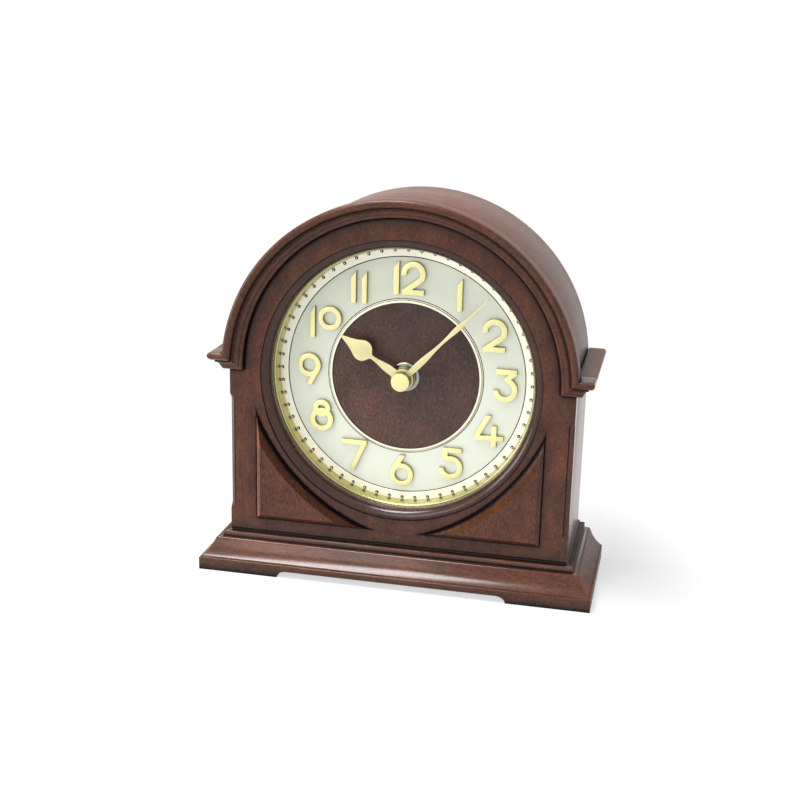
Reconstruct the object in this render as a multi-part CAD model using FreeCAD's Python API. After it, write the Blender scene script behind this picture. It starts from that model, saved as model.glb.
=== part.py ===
import FreeCAD, Part
import math
import os

# A round-arched mantel clock of stained wood, with a gold and silver dial and a quartz movement.
# Millimetres. +Z is up, the dial faces -Y, and the origin is the middle of the base's underside.
# A depth is measured backwards from the front face of the case.

# Base
base_half_width = 100.0
base_depth = 74.0
front_overhang = 12.0
plinth_band_height = 6.6
plinth_height = 15.8
plinth_edge_round = 0.5
cove_foot_inset = 1.4
cove_foot_rise = 0.7
cove_head_inset = 6.7
cove_head_drop = 1.2
cove_sag = 0.85
cove_top_inset = 7.7
foot_recess_half_width = 58.5
foot_recess_height = 3.4
foot_recess_round = 5.0
lower_step_inset = 9.9
lower_step_height = 2.6
upper_step_inset = 12.6
upper_step_height = 1.1
step_edge_round = 0.45
base_screw_head_radius = 3.5
base_screw_head_height = 2.0
base_screw_sink = 1.0
base_screw_radius = 1.6
base_screw_length = 22.0
base_screw_wall_distance = 10.4
base_screw_spacing = 24.0

# Case
case_half_width = 86.4
arch_centre_z = 105.7
panel_thickness = 8.0
shell_thickness = 8.0
floor_thickness = 8.0
back_thickness = 3.0
back_clearance = 0.2
back_opening_radius = 46.0
cleat_width = 10.0
cleat_depth = 10.0
cleat_side_length = 60.0
cleat_top_length = 40.0
cleat_bottom_gap = 5.0
back_screw_radius = 1.3
back_screw_head_radius = 2.9
back_screw_head_height = 1.6
back_screw_length = 11.0
corner_chamfer = 2.2
corner_chamfer_bottom_z = 30.6
corner_chamfer_top_z = 92.0
corner_chamfer_runout = 3.0

# Dial opening in the front panel
dial_centre_z = 103.5
opening_radius = 65.7
opening_edge_radius = 70.5
opening_quirk = 0.5

# Cornice that follows the arch and turns out into the ears
cornice_overhang = 1.8
cornice_height = 9.3
cornice_projection = 8.8
cornice_drop = 1.0
ear_joint_depth = 3.0
ear_joint_gap = 0.35

# Raised panels in the lower corners of the front
spandrel_outer_x = 72.3
spandrel_bottom_z = 27.0
spandrel_arc_radius = 100.5
spandrel_arc_centre_x = 19.9
spandrel_arc_centre_z = 121.1
spandrel_height = 2.2
spandrel_edge_height = 0.5
spandrel_side_bevel = 2.0
spandrel_arc_bevel = 6.0

# Bezel and dial
bezel_wall = 0.8
bezel_flange_width = 8.0
bezel_flange_thickness = 0.8
bezel_reveal = 0.9
bezel_taper = 0.3
bezel_depth = 7.6
bezel_tab_width = 6.0
bezel_tab_thickness = 0.5
bezel_tab_count = 6
bezel_screw_radius = 1.1
bezel_screw_head_radius = 2.2
bezel_screw_head_height = 1.1
bezel_screw_length = 4.0
bezel_screw_count = 4
dial_plate_thickness = 1.0
minute_ring_inner_radius = 60.4
minute_ring_thickness = 0.6
minute_dot_circle = 63.5
minute_dot_radius = 0.85
minute_dot_height = 0.7
minute_dot_count = 60
chapter_gap = 0.25
chapter_ring_inner_radius = 39.45
chapter_ring_thickness = 0.4
centre_ring_inner_radius = 37.3
centre_ring_outer_radius = 39.2
centre_ring_thickness = 1.0
centre_ring_flat = 0.9
centre_disc_thickness = 0.5

# Raised numerals
numeral_circle = 50.0
numeral_height = 16.3
numeral_stroke = 2.6
numeral_thickness = 1.9
numeral_bevel = 0.45
numeral_bowl_radius = 6.05
numeral_pair_pitch = 5.5
numeral_ten_gap = 1.5
numeral_twelve_gap = 1.1

# Hands, at seven minutes past ten
hour_hand_angle = 302.0
hour_hand_length = 38.1
hour_hand_half_width = 5.35
hour_hand_hub_radius = 5.2
hour_hub_length = 1.6
minute_hand_angle = 43.8
minute_hand_length = 60.2
minute_hand_half_width = 1.62
minute_hand_hub_radius = 4.4
minute_hub_length = 1.6
hand_thickness = 0.5
hand_cap_radius = 4.7
hand_cap_length = 4.2
hand_cap_round = 0.4
hand_cap_bore = 2.4
hand_gap = 0.35

# Nut stack that holds the movement behind the dial
post_radius = 4.0
post_clearance = 0.1
washer_radius = 7.5
washer_thickness = 0.9
washer_round = 0.6
nut_radius = 5.8
nut_thickness = 1.9
nut_bevel = 0.4
post_stand_out = 0.3
rubber_washer_radius = 10.0
rubber_washer_thickness = 0.8

# Movement case
movement_half_size = 28.0
movement_depth = 16.0
movement_wall = 1.2
movement_face_wall = 1.4
movement_cover_thickness = 1.4
movement_corner_round = 2.0
movement_fit_gap = 0.1
battery_radius = 7.1
battery_length = 49.5
battery_nub_radius = 2.7
battery_nub_length = 1.0
battery_side_gap = 0.3
battery_front_gap = 0.4
contact_thickness = 0.4
contact_width = 9.0
contact_tab_width = 3.0
contact_tab_rise = 6.0
contact_spring_half_length = 4.0
contact_spring_width = 5.0
board_thickness = 0.8
board_depth_in_chamber = 9.6
board_left_gap = 0.8
board_half_height = 4.7
board_right_x = 5.5
board_centre_z = 21.4
board_chip_radius = 3.0
board_chip_height = 0.9
crystal_radius = 1.0
crystal_length = 6.0
support_post_radius = 1.2

# Motor
rotor_x = 16.2
rotor_z = 0.7
rotor_magnet_radius = 2.8
rotor_magnet_length = 2.0
rotor_air_gap = 0.5
stator_thickness = 1.0
stator_left_x = 7.6
stator_right_x = 25.2
stator_bottom_z = -4.4
stator_top_z = 24.5
stator_arm_width = 3.3
stator_bar_top_z = 5.6
coil_radius = 3.1
coil_flange_radius = 3.5
coil_flange_thickness = 0.6
coil_length = 10.0
coil_fit_gap = 0.1

# Wheels and arbors
wheel_thickness = 0.8
pinion_overlap = 0.2
level_gap = 0.3
arbor_radius = 0.4
pivot_clearance = 0.05
pivot_depth = 0.8
pivot_end_gap = 0.1
minute_arbor_radius = 1.5
minute_seat_radius = 1.2
hour_pipe_wall = 0.9
motion_centre_distance = 10.5
third_centre_distance = 10.0
fifth_centre_distance = 9.8
knob_shaft_radius = 1.2
knob_radius = 6.0
knob_length = 6.0
knob_gap = 0.5
knob_groove_depth = 0.5
knob_groove_count = 24

# Tooth counts: the motion work turns 12 to 1, the going train 1800 to 1
cannon_teeth = 12
intermediate_teeth = 36
intermediate_pinion_teeth = 10
hour_teeth = 40
knob_teeth = 12
centre_teeth = 60
third_pinion_teeth = 8
third_teeth = 64
seconds_pinion_teeth = 8
seconds_teeth = 60
fifth_pinion_teeth = 10
fifth_teeth = 45
rotor_teeth = 9

# Directions of the wheels' centres, in degrees, anticlockwise from +X as seen from the front
intermediate_direction = 135.0
knob_direction = 180.0
third_direction = 60.0
fifth_direction = -10.0

# Cuts run past the surface by this much
overrun = 1.0

# Shares of the cornice's projection and height, from the panel outwards and the foot upwards
cornice_profile_shares = {
    "bead_start": (0.16, 0.0),
    "bead_middle": (0.31, 0.055),
    "bead_end": (0.375, 0.19),
    "cove_start": (0.41, 0.20),
    "cove_middle": (0.49, 0.37),
    "cove_end": (0.66, 0.46),
    "fillet_end": (0.66, 0.565),
    "nose_start": (0.83, 0.60),
    "nose_lower": (0.95, 0.67),
    "nose_tip": (1.0, 0.80),
    "nose_upper": (0.95, 0.94),
    "nose_end": (0.83, 1.0),
}

# Shares of the numeral circle's radius, right and up from the dial's centre
numeral_place_shares = {
    "12": (0.026, 0.998), "1": (0.526, 0.864), "2": (0.882, 0.488), "3": (1.008, -0.004),
    "4": (0.868, -0.484), "5": (0.494, -0.854), "6": (-0.006, -0.978), "7": (-0.504, -0.858),
    "8": (-0.848, -0.466), "9": (-0.982, 0.006), "10": (-0.814, 0.498), "11": (-0.48, 0.878),
}

# Half outlines of the hands: shares of the length from the axis, and of the largest half width
hour_outline_shares = [
    (0.17, 0.40), (0.25, 0.39), (0.33, 0.31), (0.41, 0.21), (0.47, 0.17), (0.505, 0.19),
    (0.53, 0.42), (0.56, 0.76), (0.60, 0.94), (0.645, 1.0), (0.685, 0.95), (0.72, 0.82),
    (0.76, 0.66), (0.80, 0.53), (0.85, 0.38), (0.91, 0.24), (0.96, 0.14), (1.0, 0.02),
]
minute_outline_shares = [
    (0.08, 0.78), (0.14, 0.93), (0.21, 1.0), (0.28, 0.90), (0.34, 0.70), (0.41, 0.50),
    (0.47, 0.45), (0.53, 0.55), (0.60, 0.76), (0.65, 0.80), (0.70, 0.66), (0.76, 0.42),
    (0.82, 0.29), (0.90, 0.22), (1.0, 0.10),
]

# Shares of the circular pitch, and of the module
tooth_root_share = 0.27
tooth_pitch_share = 0.22
tooth_tip_share = 0.09
tooth_addendum_share = 0.85
tooth_dedendum_share = 1.2

# Places worked out from the sizes above
face_y = front_overhang - base_depth / 2
case_depth = base_depth - front_overhang
side_overhang = base_half_width - case_half_width
step_top_z = plinth_height + lower_step_height + upper_step_height
case_bottom_z = step_top_z
shell_inner_half = case_half_width - shell_thickness
cornice_outer_radius = case_half_width + cornice_overhang
cornice_inner_radius = cornice_outer_radius - cornice_height
cornice_bottom_z = arch_centre_z - cornice_drop
back_front_depth = case_depth - back_thickness
dial_plate_depth = panel_thickness + bezel_depth
bezel_inner_radius = opening_radius - bezel_reveal
bezel_flange_radius = opening_radius + bezel_flange_width
bezel_screw_circle = opening_radius + 0.6 * bezel_flange_width
chapter_ring_outer_radius = minute_ring_inner_radius - chapter_gap
chapter_front_depth = dial_plate_depth - chapter_ring_thickness
washer_back_depth = dial_plate_depth - centre_disc_thickness
washer_front_depth = washer_back_depth - washer_thickness
nut_front_depth = washer_front_depth - nut_thickness
post_front_depth = nut_front_depth - post_stand_out
hour_hub_back_depth = post_front_depth - hand_gap
hour_hub_front_depth = hour_hub_back_depth - hour_hub_length - hand_thickness
minute_hub_back_depth = hour_hub_front_depth - hand_gap
minute_hub_front_depth = minute_hub_back_depth - minute_hub_length - hand_thickness
cap_front_depth = minute_hub_front_depth - hand_cap_length
hour_pipe_bore = minute_arbor_radius + pivot_clearance
hour_pipe_radius = hour_pipe_bore + hour_pipe_wall
post_bore = hour_pipe_radius + pivot_clearance
movement_front_depth = dial_plate_depth + dial_plate_thickness + rubber_washer_thickness
movement_back_depth = movement_front_depth + movement_depth
chamber_front_depth = movement_front_depth + movement_face_wall
chamber_back_depth = movement_back_depth - movement_cover_thickness
battery_z = battery_radius + battery_side_gap + movement_wall - movement_half_size
battery_depth = movement_front_depth + movement_face_wall + battery_front_gap + battery_radius
partition_top_z = battery_z + battery_radius + battery_side_gap + movement_wall


def levels():
    """Depth of each wheel's front face, from the movement's front wall backwards."""
    hour = chamber_front_depth + level_gap
    motion = hour + wheel_thickness + level_gap
    centre = motion + wheel_thickness + 2 * level_gap
    third = centre + wheel_thickness + 3 * level_gap
    seconds = third + wheel_thickness + 2 * level_gap
    fifth = seconds + wheel_thickness + 2 * level_gap
    magnet = fifth + wheel_thickness + 2 * level_gap
    return {"hour": hour, "motion": motion, "centre": centre, "third": third,
            "seconds": seconds, "fifth": fifth, "magnet": magnet}


level = levels()


def point(x, depth, z):
    """A place given by its depth behind the case's front face."""
    return FreeCAD.Vector(x, face_y + depth, z)


def toward(angle, distance):
    """Right and up offsets of a place at an angle anticlockwise from +X, seen from the front."""
    return distance * math.cos(math.radians(angle)), distance * math.sin(math.radians(angle))


def wire_through(start, segments):
    """A closed wire. A segment is a list: its end, or a point on the way and its end for an arc."""
    edges = []
    here = start
    for segment in segments:
        end = segment[-1]
        if len(segment) == 1:
            edges.append(Part.LineSegment(here, end).toShape())
        else:
            edges.append(Part.Arc(here, segment[0], end).toShape())
        here = end
    if here.distanceToPoint(start) > 0:
        edges.append(Part.LineSegment(here, start).toShape())
    return Part.Wire(edges)


def face_through(start, segments):
    return Part.Face(wire_through(start, segments))


def straight_face(corners):
    return face_through(corners[0], [[corner] for corner in corners[1:]])


def backwards(face, length):
    return face.extrude(FreeCAD.Vector(0, length, 0))


def block(low_x, high_x, low_depth, high_depth, low_z, high_z):
    size = (high_x - low_x, high_depth - low_depth, high_z - low_z)
    return Part.makeBox(size[0], size[1], size[2], point(low_x, low_depth, low_z))


def disc(radius, front_depth, back_depth, x=0, z=dial_centre_z):
    length = back_depth - front_depth
    return Part.makeCylinder(radius, length, point(x, front_depth, z), FreeCAD.Vector(0, 1, 0))


def ring(inner, outer, front_depth, back_depth, x=0, z=dial_centre_z):
    hole = disc(inner, front_depth - overrun, back_depth + overrun, x, z)
    return disc(outer, front_depth, back_depth, x, z).cut(hole)


def turned(profile, x=0, z=dial_centre_z):
    """Revolve a closed outline of (radius, depth) corners about an axis along Y."""
    face = straight_face([point(x + radius, depth, z) for radius, depth in profile])
    return face.revolve(point(x, 0, z), FreeCAD.Vector(0, 1, 0), 360)


def joined(shapes):
    whole = shapes[0]
    for shape in shapes[1:]:
        whole = whole.fuse(shape)
    return whole.removeSplitter()


def mirrored(shape):
    return shape.mirror(FreeCAD.Vector(0, 0, 0), FreeCAD.Vector(1, 0, 0))


def screw(head_radius, head_height, shank_radius, shank_length, head_place, direction):
    """Countersunk screw whose head face is centred on head_place and whose shank runs along direction."""
    head = Part.makeCone(head_radius, shank_radius, head_height, head_place, direction)
    shank = Part.makeCylinder(shank_radius, head_height + shank_length, head_place, direction)
    return joined([head, shank])


def moulded_board(half_profile, front_inset, bottom_z):
    """Board moulded on its front and two sides. half_profile(edge) gives a start and segments for an
    outline whose outer edge stands at edge, measured from the middle."""
    front_edge = base_depth / 2 - front_inset
    side_start, side_segments = half_profile(base_half_width)
    front_start, front_segments = half_profile(front_edge)

    def side_place(place):
        return FreeCAD.Vector(place[0], -base_depth, bottom_z + place[1])

    def front_place(place):
        return FreeCAD.Vector(-2 * base_half_width, -place[0], bottom_z + place[1])

    side_face = face_through(side_place(side_start), [[side_place(p) for p in s] for s in side_segments])
    side = side_face.extrude(FreeCAD.Vector(0, 2 * base_depth, 0))
    front_face = face_through(front_place(front_start), [[front_place(p) for p in s] for s in front_segments])
    front = front_face.extrude(FreeCAD.Vector(4 * base_half_width, 0, 0))
    both_sides = joined([side, mirrored(side)])
    top_z = bottom_z + max(place[1] for segment in side_segments for place in segment)
    rear = Part.makeBox(2 * base_half_width, base_depth / 2, top_z - bottom_z,
                        FreeCAD.Vector(-base_half_width, 0, bottom_z))
    return both_sides.common(joined([front, rear]))


def plinth_profile(edge):
    """Band with a cove over it."""
    round_top = plinth_band_height - plinth_edge_round
    round_share = 1 - math.sqrt(0.5)
    corner = (edge - plinth_edge_round * round_share, plinth_band_height - plinth_edge_round * round_share)
    cove_foot = (edge - cove_foot_inset, plinth_band_height + cove_foot_rise)
    cove_head = (edge - cove_head_inset, plinth_height - cove_head_drop)
    run = cove_head_inset - cove_foot_inset
    rise = cove_head[1] - cove_foot[1]
    length = math.hypot(run, rise)
    middle = (edge - (cove_foot_inset + cove_head_inset) / 2 - cove_sag * rise / length,
              (cove_foot[1] + cove_head[1]) / 2 - cove_sag * run / length)
    top = (edge - cove_top_inset, plinth_height)
    shoulder = (edge - cove_head_inset - (cove_top_inset - cove_head_inset) * round_share,
                plinth_height - cove_head_drop * round_share)
    segments = [[(edge, 0)], [(edge, round_top)], [corner, (edge - plinth_edge_round, plinth_band_height)],
                [cove_foot], [middle, cove_head], [shoulder, top], [(0, plinth_height)]]
    return (0, 0), segments


def step_profile(edge):
    """Two thin steps with eased edges."""
    round_share = 1 - math.sqrt(0.5)
    segments = [[(edge - lower_step_inset, 0)]]
    height = 0
    for inset, rise in ((lower_step_inset, lower_step_height), (upper_step_inset, upper_step_height)):
        height += rise
        segments.append([(edge - inset, height - rise)])
        segments.append([(edge - inset, height - step_edge_round)])
        eased = (edge - inset - step_edge_round * round_share, height - step_edge_round * round_share)
        segments.append([eased, (edge - inset - step_edge_round, height)])
    segments.append([(0, height)])
    return (0, 0), [s for i, s in enumerate(segments) if i != 1]


def base_screw_places():
    x = shell_inner_half - base_screw_wall_distance
    middle = face_y + (panel_thickness + back_front_depth) / 2
    ys = (middle - base_screw_spacing / 2, middle + base_screw_spacing / 2)
    return [(sx * x, y) for sx in (-1, 1) for y in ys]


def base_screws():
    up = FreeCAD.Vector(0, 0, 1)
    screws = [screw(base_screw_head_radius, base_screw_head_height, base_screw_radius, base_screw_length,
                    FreeCAD.Vector(x, y, base_screw_sink), up) for x, y in base_screw_places()]
    return Part.makeCompound(screws)


def without_base_screws(board):
    for x, y in base_screw_places():
        place = FreeCAD.Vector(x, y, -overrun)
        board = board.cut(Part.makeCylinder(base_screw_head_radius, base_screw_sink + overrun, place))
    return board.cut(base_screws())


def plinth():
    board = moulded_board(plinth_profile, 0, 0)
    half = foot_recess_half_width
    round_z = foot_recess_height
    start = FreeCAD.Vector(-half, -base_depth, -overrun)

    def place(x, z):
        return FreeCAD.Vector(x, -base_depth, z)

    inner = half - foot_recess_round
    bulge_x = inner + foot_recess_round * math.sqrt(0.5)
    bulge_z = round_z * math.sqrt(0.5)
    segments = [[place(-half, 0)], [place(-bulge_x, bulge_z), place(-inner, round_z)], [place(inner, round_z)],
                [place(bulge_x, bulge_z), place(half, 0)], [place(half, -overrun)]]
    recess = backwards(face_through(start, segments), 2 * base_depth)
    return without_base_screws(board.cut(recess))


def step_board():
    return without_base_screws(moulded_board(step_profile, 0, plinth_height))


def arched(half_width, front_depth, back_depth, bottom_z):
    """Upright board with a half-round top."""
    start = point(-half_width, front_depth, bottom_z)
    segments = [[point(half_width, front_depth, bottom_z)], [point(half_width, front_depth, arch_centre_z)],
                [point(0, front_depth, arch_centre_z + half_width), point(-half_width, front_depth, arch_centre_z)]]
    return backwards(face_through(start, segments), back_depth - front_depth)


def corner_chamfer_cutter():
    """Stopped chamfer on the right front corner, with a curved run-out at each end."""
    size = corner_chamfer
    low = corner_chamfer_bottom_z + corner_chamfer_runout
    high = corner_chamfer_top_z - corner_chamfer_runout
    x = case_half_width
    outer = size + overrun
    corners = [(x - size, 0), (x - size, -outer), (x + outer, -outer), (x + outer, size), (x, size)]
    face = straight_face([point(px, depth, low) for px, depth in corners])
    cutter = face.extrude(FreeCAD.Vector(0, 0, high - low))
    for z, end_z in ((low, corner_chamfer_bottom_z), (high, corner_chamfer_top_z)):
        base_face = straight_face([point(px, depth, z) for px, depth in corners])
        tip = point(x, 0, end_z)
        tip_corners = [tip, tip + FreeCAD.Vector(0, -outer, 0), tip + FreeCAD.Vector(outer, -outer, 0),
                       tip + FreeCAD.Vector(outer, 0, 0)]
        tip_wire = wire_through(tip_corners[0], [[corner] for corner in tip_corners[1:]])
        cutter = cutter.fuse(Part.makeLoft([base_face.OuterWire, tip_wire], True, True))
    return cutter


def bezel_screw_places():
    turn = 360 / bezel_screw_count
    return [toward(turn * (index + 0.5), bezel_screw_circle) for index in range(bezel_screw_count)]


def bezel_screws():
    screws = []
    for x, up in bezel_screw_places():
        z = dial_centre_z + up
        front = panel_thickness + bezel_flange_thickness
        head = disc(bezel_screw_head_radius, front, front + bezel_screw_head_height, x, z)
        shank = disc(bezel_screw_radius, front - bezel_screw_length, front, x, z)
        screws.append(joined([head, shank]))
    return Part.makeCompound(screws)


def front_panel():
    panel = arched(case_half_width, 0, panel_thickness, case_bottom_z)
    panel = panel.cut(disc(opening_radius, -overrun, panel_thickness + overrun))
    depth = opening_edge_radius - opening_radius
    quirk = opening_quirk
    share = math.sqrt(0.5)
    start = point(opening_edge_radius, -overrun, dial_centre_z)
    middle = point(opening_radius + depth * (1 - share), quirk + depth * (1 - share), dial_centre_z)
    segments = [[point(opening_edge_radius, quirk, dial_centre_z)],
                [middle, point(opening_radius, quirk + depth, dial_centre_z)],
                [point(opening_radius - overrun, quirk + depth, dial_centre_z)],
                [point(opening_radius - overrun, -overrun, dial_centre_z)]]
    edge = face_through(start, segments).revolve(point(0, 0, dial_centre_z), FreeCAD.Vector(0, 1, 0), 360)
    panel = panel.cut(edge)
    chamfer = corner_chamfer_cutter()
    panel = panel.cut(chamfer).cut(mirrored(chamfer))
    return panel.cut(bezel_screws())


def side_right():
    return block(shell_inner_half, case_half_width, panel_thickness, case_depth, case_bottom_z, arch_centre_z)


def arch_shell():
    outer = ring(shell_inner_half, case_half_width, panel_thickness, case_depth, 0, arch_centre_z)
    lower = block(-case_half_width - overrun, case_half_width + overrun, 0, case_depth + overrun,
                  arch_centre_z - case_half_width - overrun, arch_centre_z)
    return outer.cut(lower)


def case_floor():
    board = block(-shell_inner_half, shell_inner_half, panel_thickness, back_front_depth,
                  case_bottom_z, case_bottom_z + floor_thickness)
    return without_base_screws(board).cut(back_screws())


def back_screw_places():
    side_x = shell_inner_half - cleat_width / 2
    bottom_z = case_bottom_z + floor_thickness / 2
    cleat_z = case_bottom_z + floor_thickness + cleat_bottom_gap
    places = [(sx * side_x, cleat_z + cleat_side_length * share) for sx in (-1, 1) for share in (0.2, 0.8)]
    places += [(sx * side_x / 2, bottom_z) for sx in (-1, 1)]
    places.append((0, arch_centre_z + shell_inner_half - cleat_width / 2))
    return places


def back_screws():
    forward = FreeCAD.Vector(0, -1, 0)
    screws = [screw(back_screw_head_radius, back_screw_head_height, back_screw_radius, back_screw_length,
                    point(x, case_depth, z), forward) for x, z in back_screw_places()]
    return Part.makeCompound(screws)


def back_panel():
    panel = arched(shell_inner_half - back_clearance, back_front_depth, case_depth, case_bottom_z)
    panel = panel.cut(disc(back_opening_radius, back_front_depth - overrun, case_depth + overrun))
    return panel.cut(back_screws())


def back_cleats():
    front = back_front_depth - cleat_depth
    low = case_bottom_z + floor_thickness + cleat_bottom_gap
    side = block(shell_inner_half - cleat_width, shell_inner_half, front, back_front_depth,
                 low, low + cleat_side_length)
    half = cleat_top_length / 2
    top_z = arch_centre_z + shell_inner_half
    top = block(-half, half, front, back_front_depth, top_z - cleat_width, top_z + overrun)
    top = top.common(disc(shell_inner_half, front, back_front_depth, 0, arch_centre_z))
    screws = back_screws()
    return Part.makeCompound([piece.cut(screws) for piece in (side, mirrored(side), top)])


def cornice_outline(place):
    """Start and segments of the cornice's section; place(out, up) sets a corner in the drawing."""
    def at(name):
        out_share, up_share = cornice_profile_shares[name]
        return place(cornice_projection * out_share, cornice_height * up_share)

    start = place(0, 0)
    segments = [[at("bead_start")], [at("bead_middle"), at("bead_end")], [at("cove_start")],
                [at("cove_middle"), at("cove_end")], [at("fillet_end")], [at("nose_start")],
                [at("nose_lower"), at("nose_tip")], [at("nose_upper"), at("nose_end")],
                [place(0, cornice_height)]]
    return start, segments


def mitre_side(outside):
    """Wedge that holds what lies above the right mitre line, or below it if outside."""
    reach = 2 * case_half_width
    near = point(cornice_inner_radius, -reach, cornice_bottom_z)
    start = near + FreeCAD.Vector(-reach, 0, -reach)
    end = near + FreeCAD.Vector(reach, 0, reach)
    corner = FreeCAD.Vector(end.x, end.y, start.z) if outside else FreeCAD.Vector(start.x, start.y, end.z)
    return backwards(straight_face([start, end, corner]), 2 * reach)


def arch_moulding():
    start, segments = cornice_outline(
        lambda out, up: point(cornice_inner_radius + up, -out, arch_centre_z))
    section = face_through(start, segments)
    arc = section.revolve(point(0, 0, arch_centre_z), FreeCAD.Vector(0, -1, 0), 180)
    leg = section.extrude(FreeCAD.Vector(0, 0, -2 * cornice_drop))
    whole = joined([arc, leg, mirrored(leg)])
    right_half = block(0, 2 * case_half_width, -case_depth, case_depth, 0, 2 * cornice_outer_radius + arch_centre_z)
    half = whole.common(right_half).common(mitre_side(False))
    return joined([half, mirrored(half)])


def cornice_along_front():
    """Front run of the cornice, from the middle to well past the corner."""
    start, segments = cornice_outline(lambda out, up: point(0, -out, cornice_bottom_z + up))
    front = face_through(start, segments).extrude(FreeCAD.Vector(2 * case_half_width, 0, 0))
    behind = block(0, 2 * case_half_width, 0, case_depth, cornice_bottom_z, cornice_bottom_z + cornice_height)
    return joined([front, behind])


def cornice_along_side():
    """Side run of the cornice, from well in front of the case to its back."""
    start, segments = cornice_outline(
        lambda out, up: point(case_half_width + out, -case_depth, cornice_bottom_z + up))
    side = backwards(face_through(start, segments), 2 * case_depth)
    inner = block(0, case_half_width, -case_depth, case_depth, cornice_bottom_z, cornice_bottom_z + cornice_height)
    return joined([side, inner])


def case_body_block():
    return block(0, case_half_width, 0, case_depth + overrun, 0, 2 * arch_centre_z)


def ear_right():
    corner = cornice_along_front().common(cornice_along_side()).common(mitre_side(True))
    front_part = block(0, 2 * case_half_width, -case_depth, ear_joint_depth, 0, 2 * arch_centre_z)
    return corner.common(front_part).cut(case_body_block())


def side_cornice_right():
    start = ear_joint_depth + ear_joint_gap
    part = block(0, 2 * case_half_width, start, case_depth, 0, 2 * arch_centre_z)
    return cornice_along_side().common(part).cut(case_body_block())


def spandrel_right():
    """Three-cornered raised panel, bevelled on its straight sides and rounded along its arc."""
    x = spandrel_outer_x
    bottom = spandrel_bottom_z
    arc_x = -spandrel_arc_centre_x
    arc_z = spandrel_arc_centre_z
    slab = block(0, x, -spandrel_height, 0, bottom, dial_centre_z)
    slab = slab.cut(disc(spandrel_arc_radius, -spandrel_height - overrun, overrun, arc_x, arc_z))
    edge = spandrel_edge_height
    top = spandrel_height
    bevel = spandrel_side_bevel
    reach = top + overrun
    side_cut = straight_face([point(x, -edge, 0), point(x - bevel, -top, 0), point(x - bevel, -reach, 0),
                              point(x + overrun, -reach, 0), point(x + overrun, -edge, 0)])
    slab = slab.cut(side_cut.extrude(FreeCAD.Vector(0, 0, 2 * dial_centre_z)))
    foot_cut = straight_face([point(0, -edge, bottom), point(0, -top, bottom + bevel),
                              point(0, -reach, bottom + bevel), point(0, -reach, bottom - overrun),
                              point(0, -edge, bottom - overrun)])
    slab = slab.cut(foot_cut.extrude(FreeCAD.Vector(2 * x, 0, 0)))
    inner = arc_x + spandrel_arc_radius
    outer = inner + spandrel_arc_bevel
    share = math.sqrt(0.5)
    middle = point(inner + spandrel_arc_bevel * (1 - share), -edge - (top - edge) * share, arc_z)
    start = point(inner - overrun, -edge, arc_z)
    segments = [[point(inner, -edge, arc_z)], [middle, point(outer, -top, arc_z)],
                [point(outer, -reach, arc_z)], [point(inner - overrun, -reach, arc_z)]]
    arc_cut = face_through(start, segments).revolve(point(arc_x, 0, arc_z), FreeCAD.Vector(0, 1, 0), 360)
    slab = slab.cut(arc_cut)
    return max(slab.Solids, key=lambda solid: solid.Volume)


def bezel():
    """Flanged ring with a rolled lip; its tabs fold over the back of the dial plate."""
    front = panel_thickness
    lip = bezel_reveal
    inner = bezel_inner_radius
    outer = inner + bezel_wall
    back = dial_plate_depth
    share = math.sqrt(0.5)
    flange_back = front + bezel_flange_thickness
    taper = bezel_taper
    start = point(bezel_flange_radius, front, dial_centre_z)
    middle = point(inner + lip * (1 - share), front + lip * (1 - share), dial_centre_z)
    segments = [[point(inner + lip, front, dial_centre_z)], [middle, point(inner, front + lip, dial_centre_z)],
                [point(inner - taper, back, dial_centre_z)], [point(outer - taper, back, dial_centre_z)],
                [point(outer, front + lip, dial_centre_z)], [point(outer, flange_back, dial_centre_z)],
                [point(bezel_flange_radius, flange_back, dial_centre_z)]]
    if lip <= bezel_flange_thickness:
        segments.pop(4)
    shape = face_through(start, segments).revolve(point(0, 0, dial_centre_z), FreeCAD.Vector(0, 1, 0), 360)
    plate_back = back + dial_plate_thickness
    rim = dial_plate_radius()
    thick = bezel_tab_thickness
    for index in range(bezel_tab_count):
        stem = block(rim, rim + bezel_reveal + thick, flange_back, plate_back + thick,
                     dial_centre_z - bezel_tab_width / 2, dial_centre_z + bezel_tab_width / 2)
        stem = stem.cut(disc(rim, flange_back - overrun, plate_back + overrun))
        hook = block(rim - 2 * bezel_wall, rim + thick, plate_back, plate_back + thick,
                     dial_centre_z - bezel_tab_width / 2, dial_centre_z + bezel_tab_width / 2)
        tab = joined([stem, hook])
        tab.rotate(point(0, 0, dial_centre_z), FreeCAD.Vector(0, 1, 0), 360 * index / bezel_tab_count)
        shape = shape.fuse(tab)
    return shape.removeSplitter().cut(bezel_screws())


def dial_plate_radius():
    return bezel_inner_radius + bezel_wall - bezel_taper


def dial_plate():
    back = dial_plate_depth + dial_plate_thickness
    return ring(post_radius + post_clearance, dial_plate_radius(), dial_plate_depth, back)


def minute_ring():
    """Polished ring with a raised dot at each minute."""
    front = dial_plate_depth - minute_ring_thickness
    shape = ring(minute_ring_inner_radius, bezel_inner_radius - bezel_taper, front, dial_plate_depth)
    height = minute_dot_height
    ball_radius = (minute_dot_radius ** 2 + height ** 2) / (2 * height)
    for index in range(minute_dot_count):
        x, up = toward(360 * index / minute_dot_count, minute_dot_circle)
        ball = Part.makeSphere(ball_radius, point(x, front - height + ball_radius, dial_centre_z + up))
        cap = ball.common(disc(ball_radius + overrun, front - height - overrun, front, x, dial_centre_z + up))
        shape = shape.fuse(cap)
    return shape


def chapter_ring():
    return ring(chapter_ring_inner_radius, chapter_ring_outer_radius, chapter_front_depth, dial_plate_depth)


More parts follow.
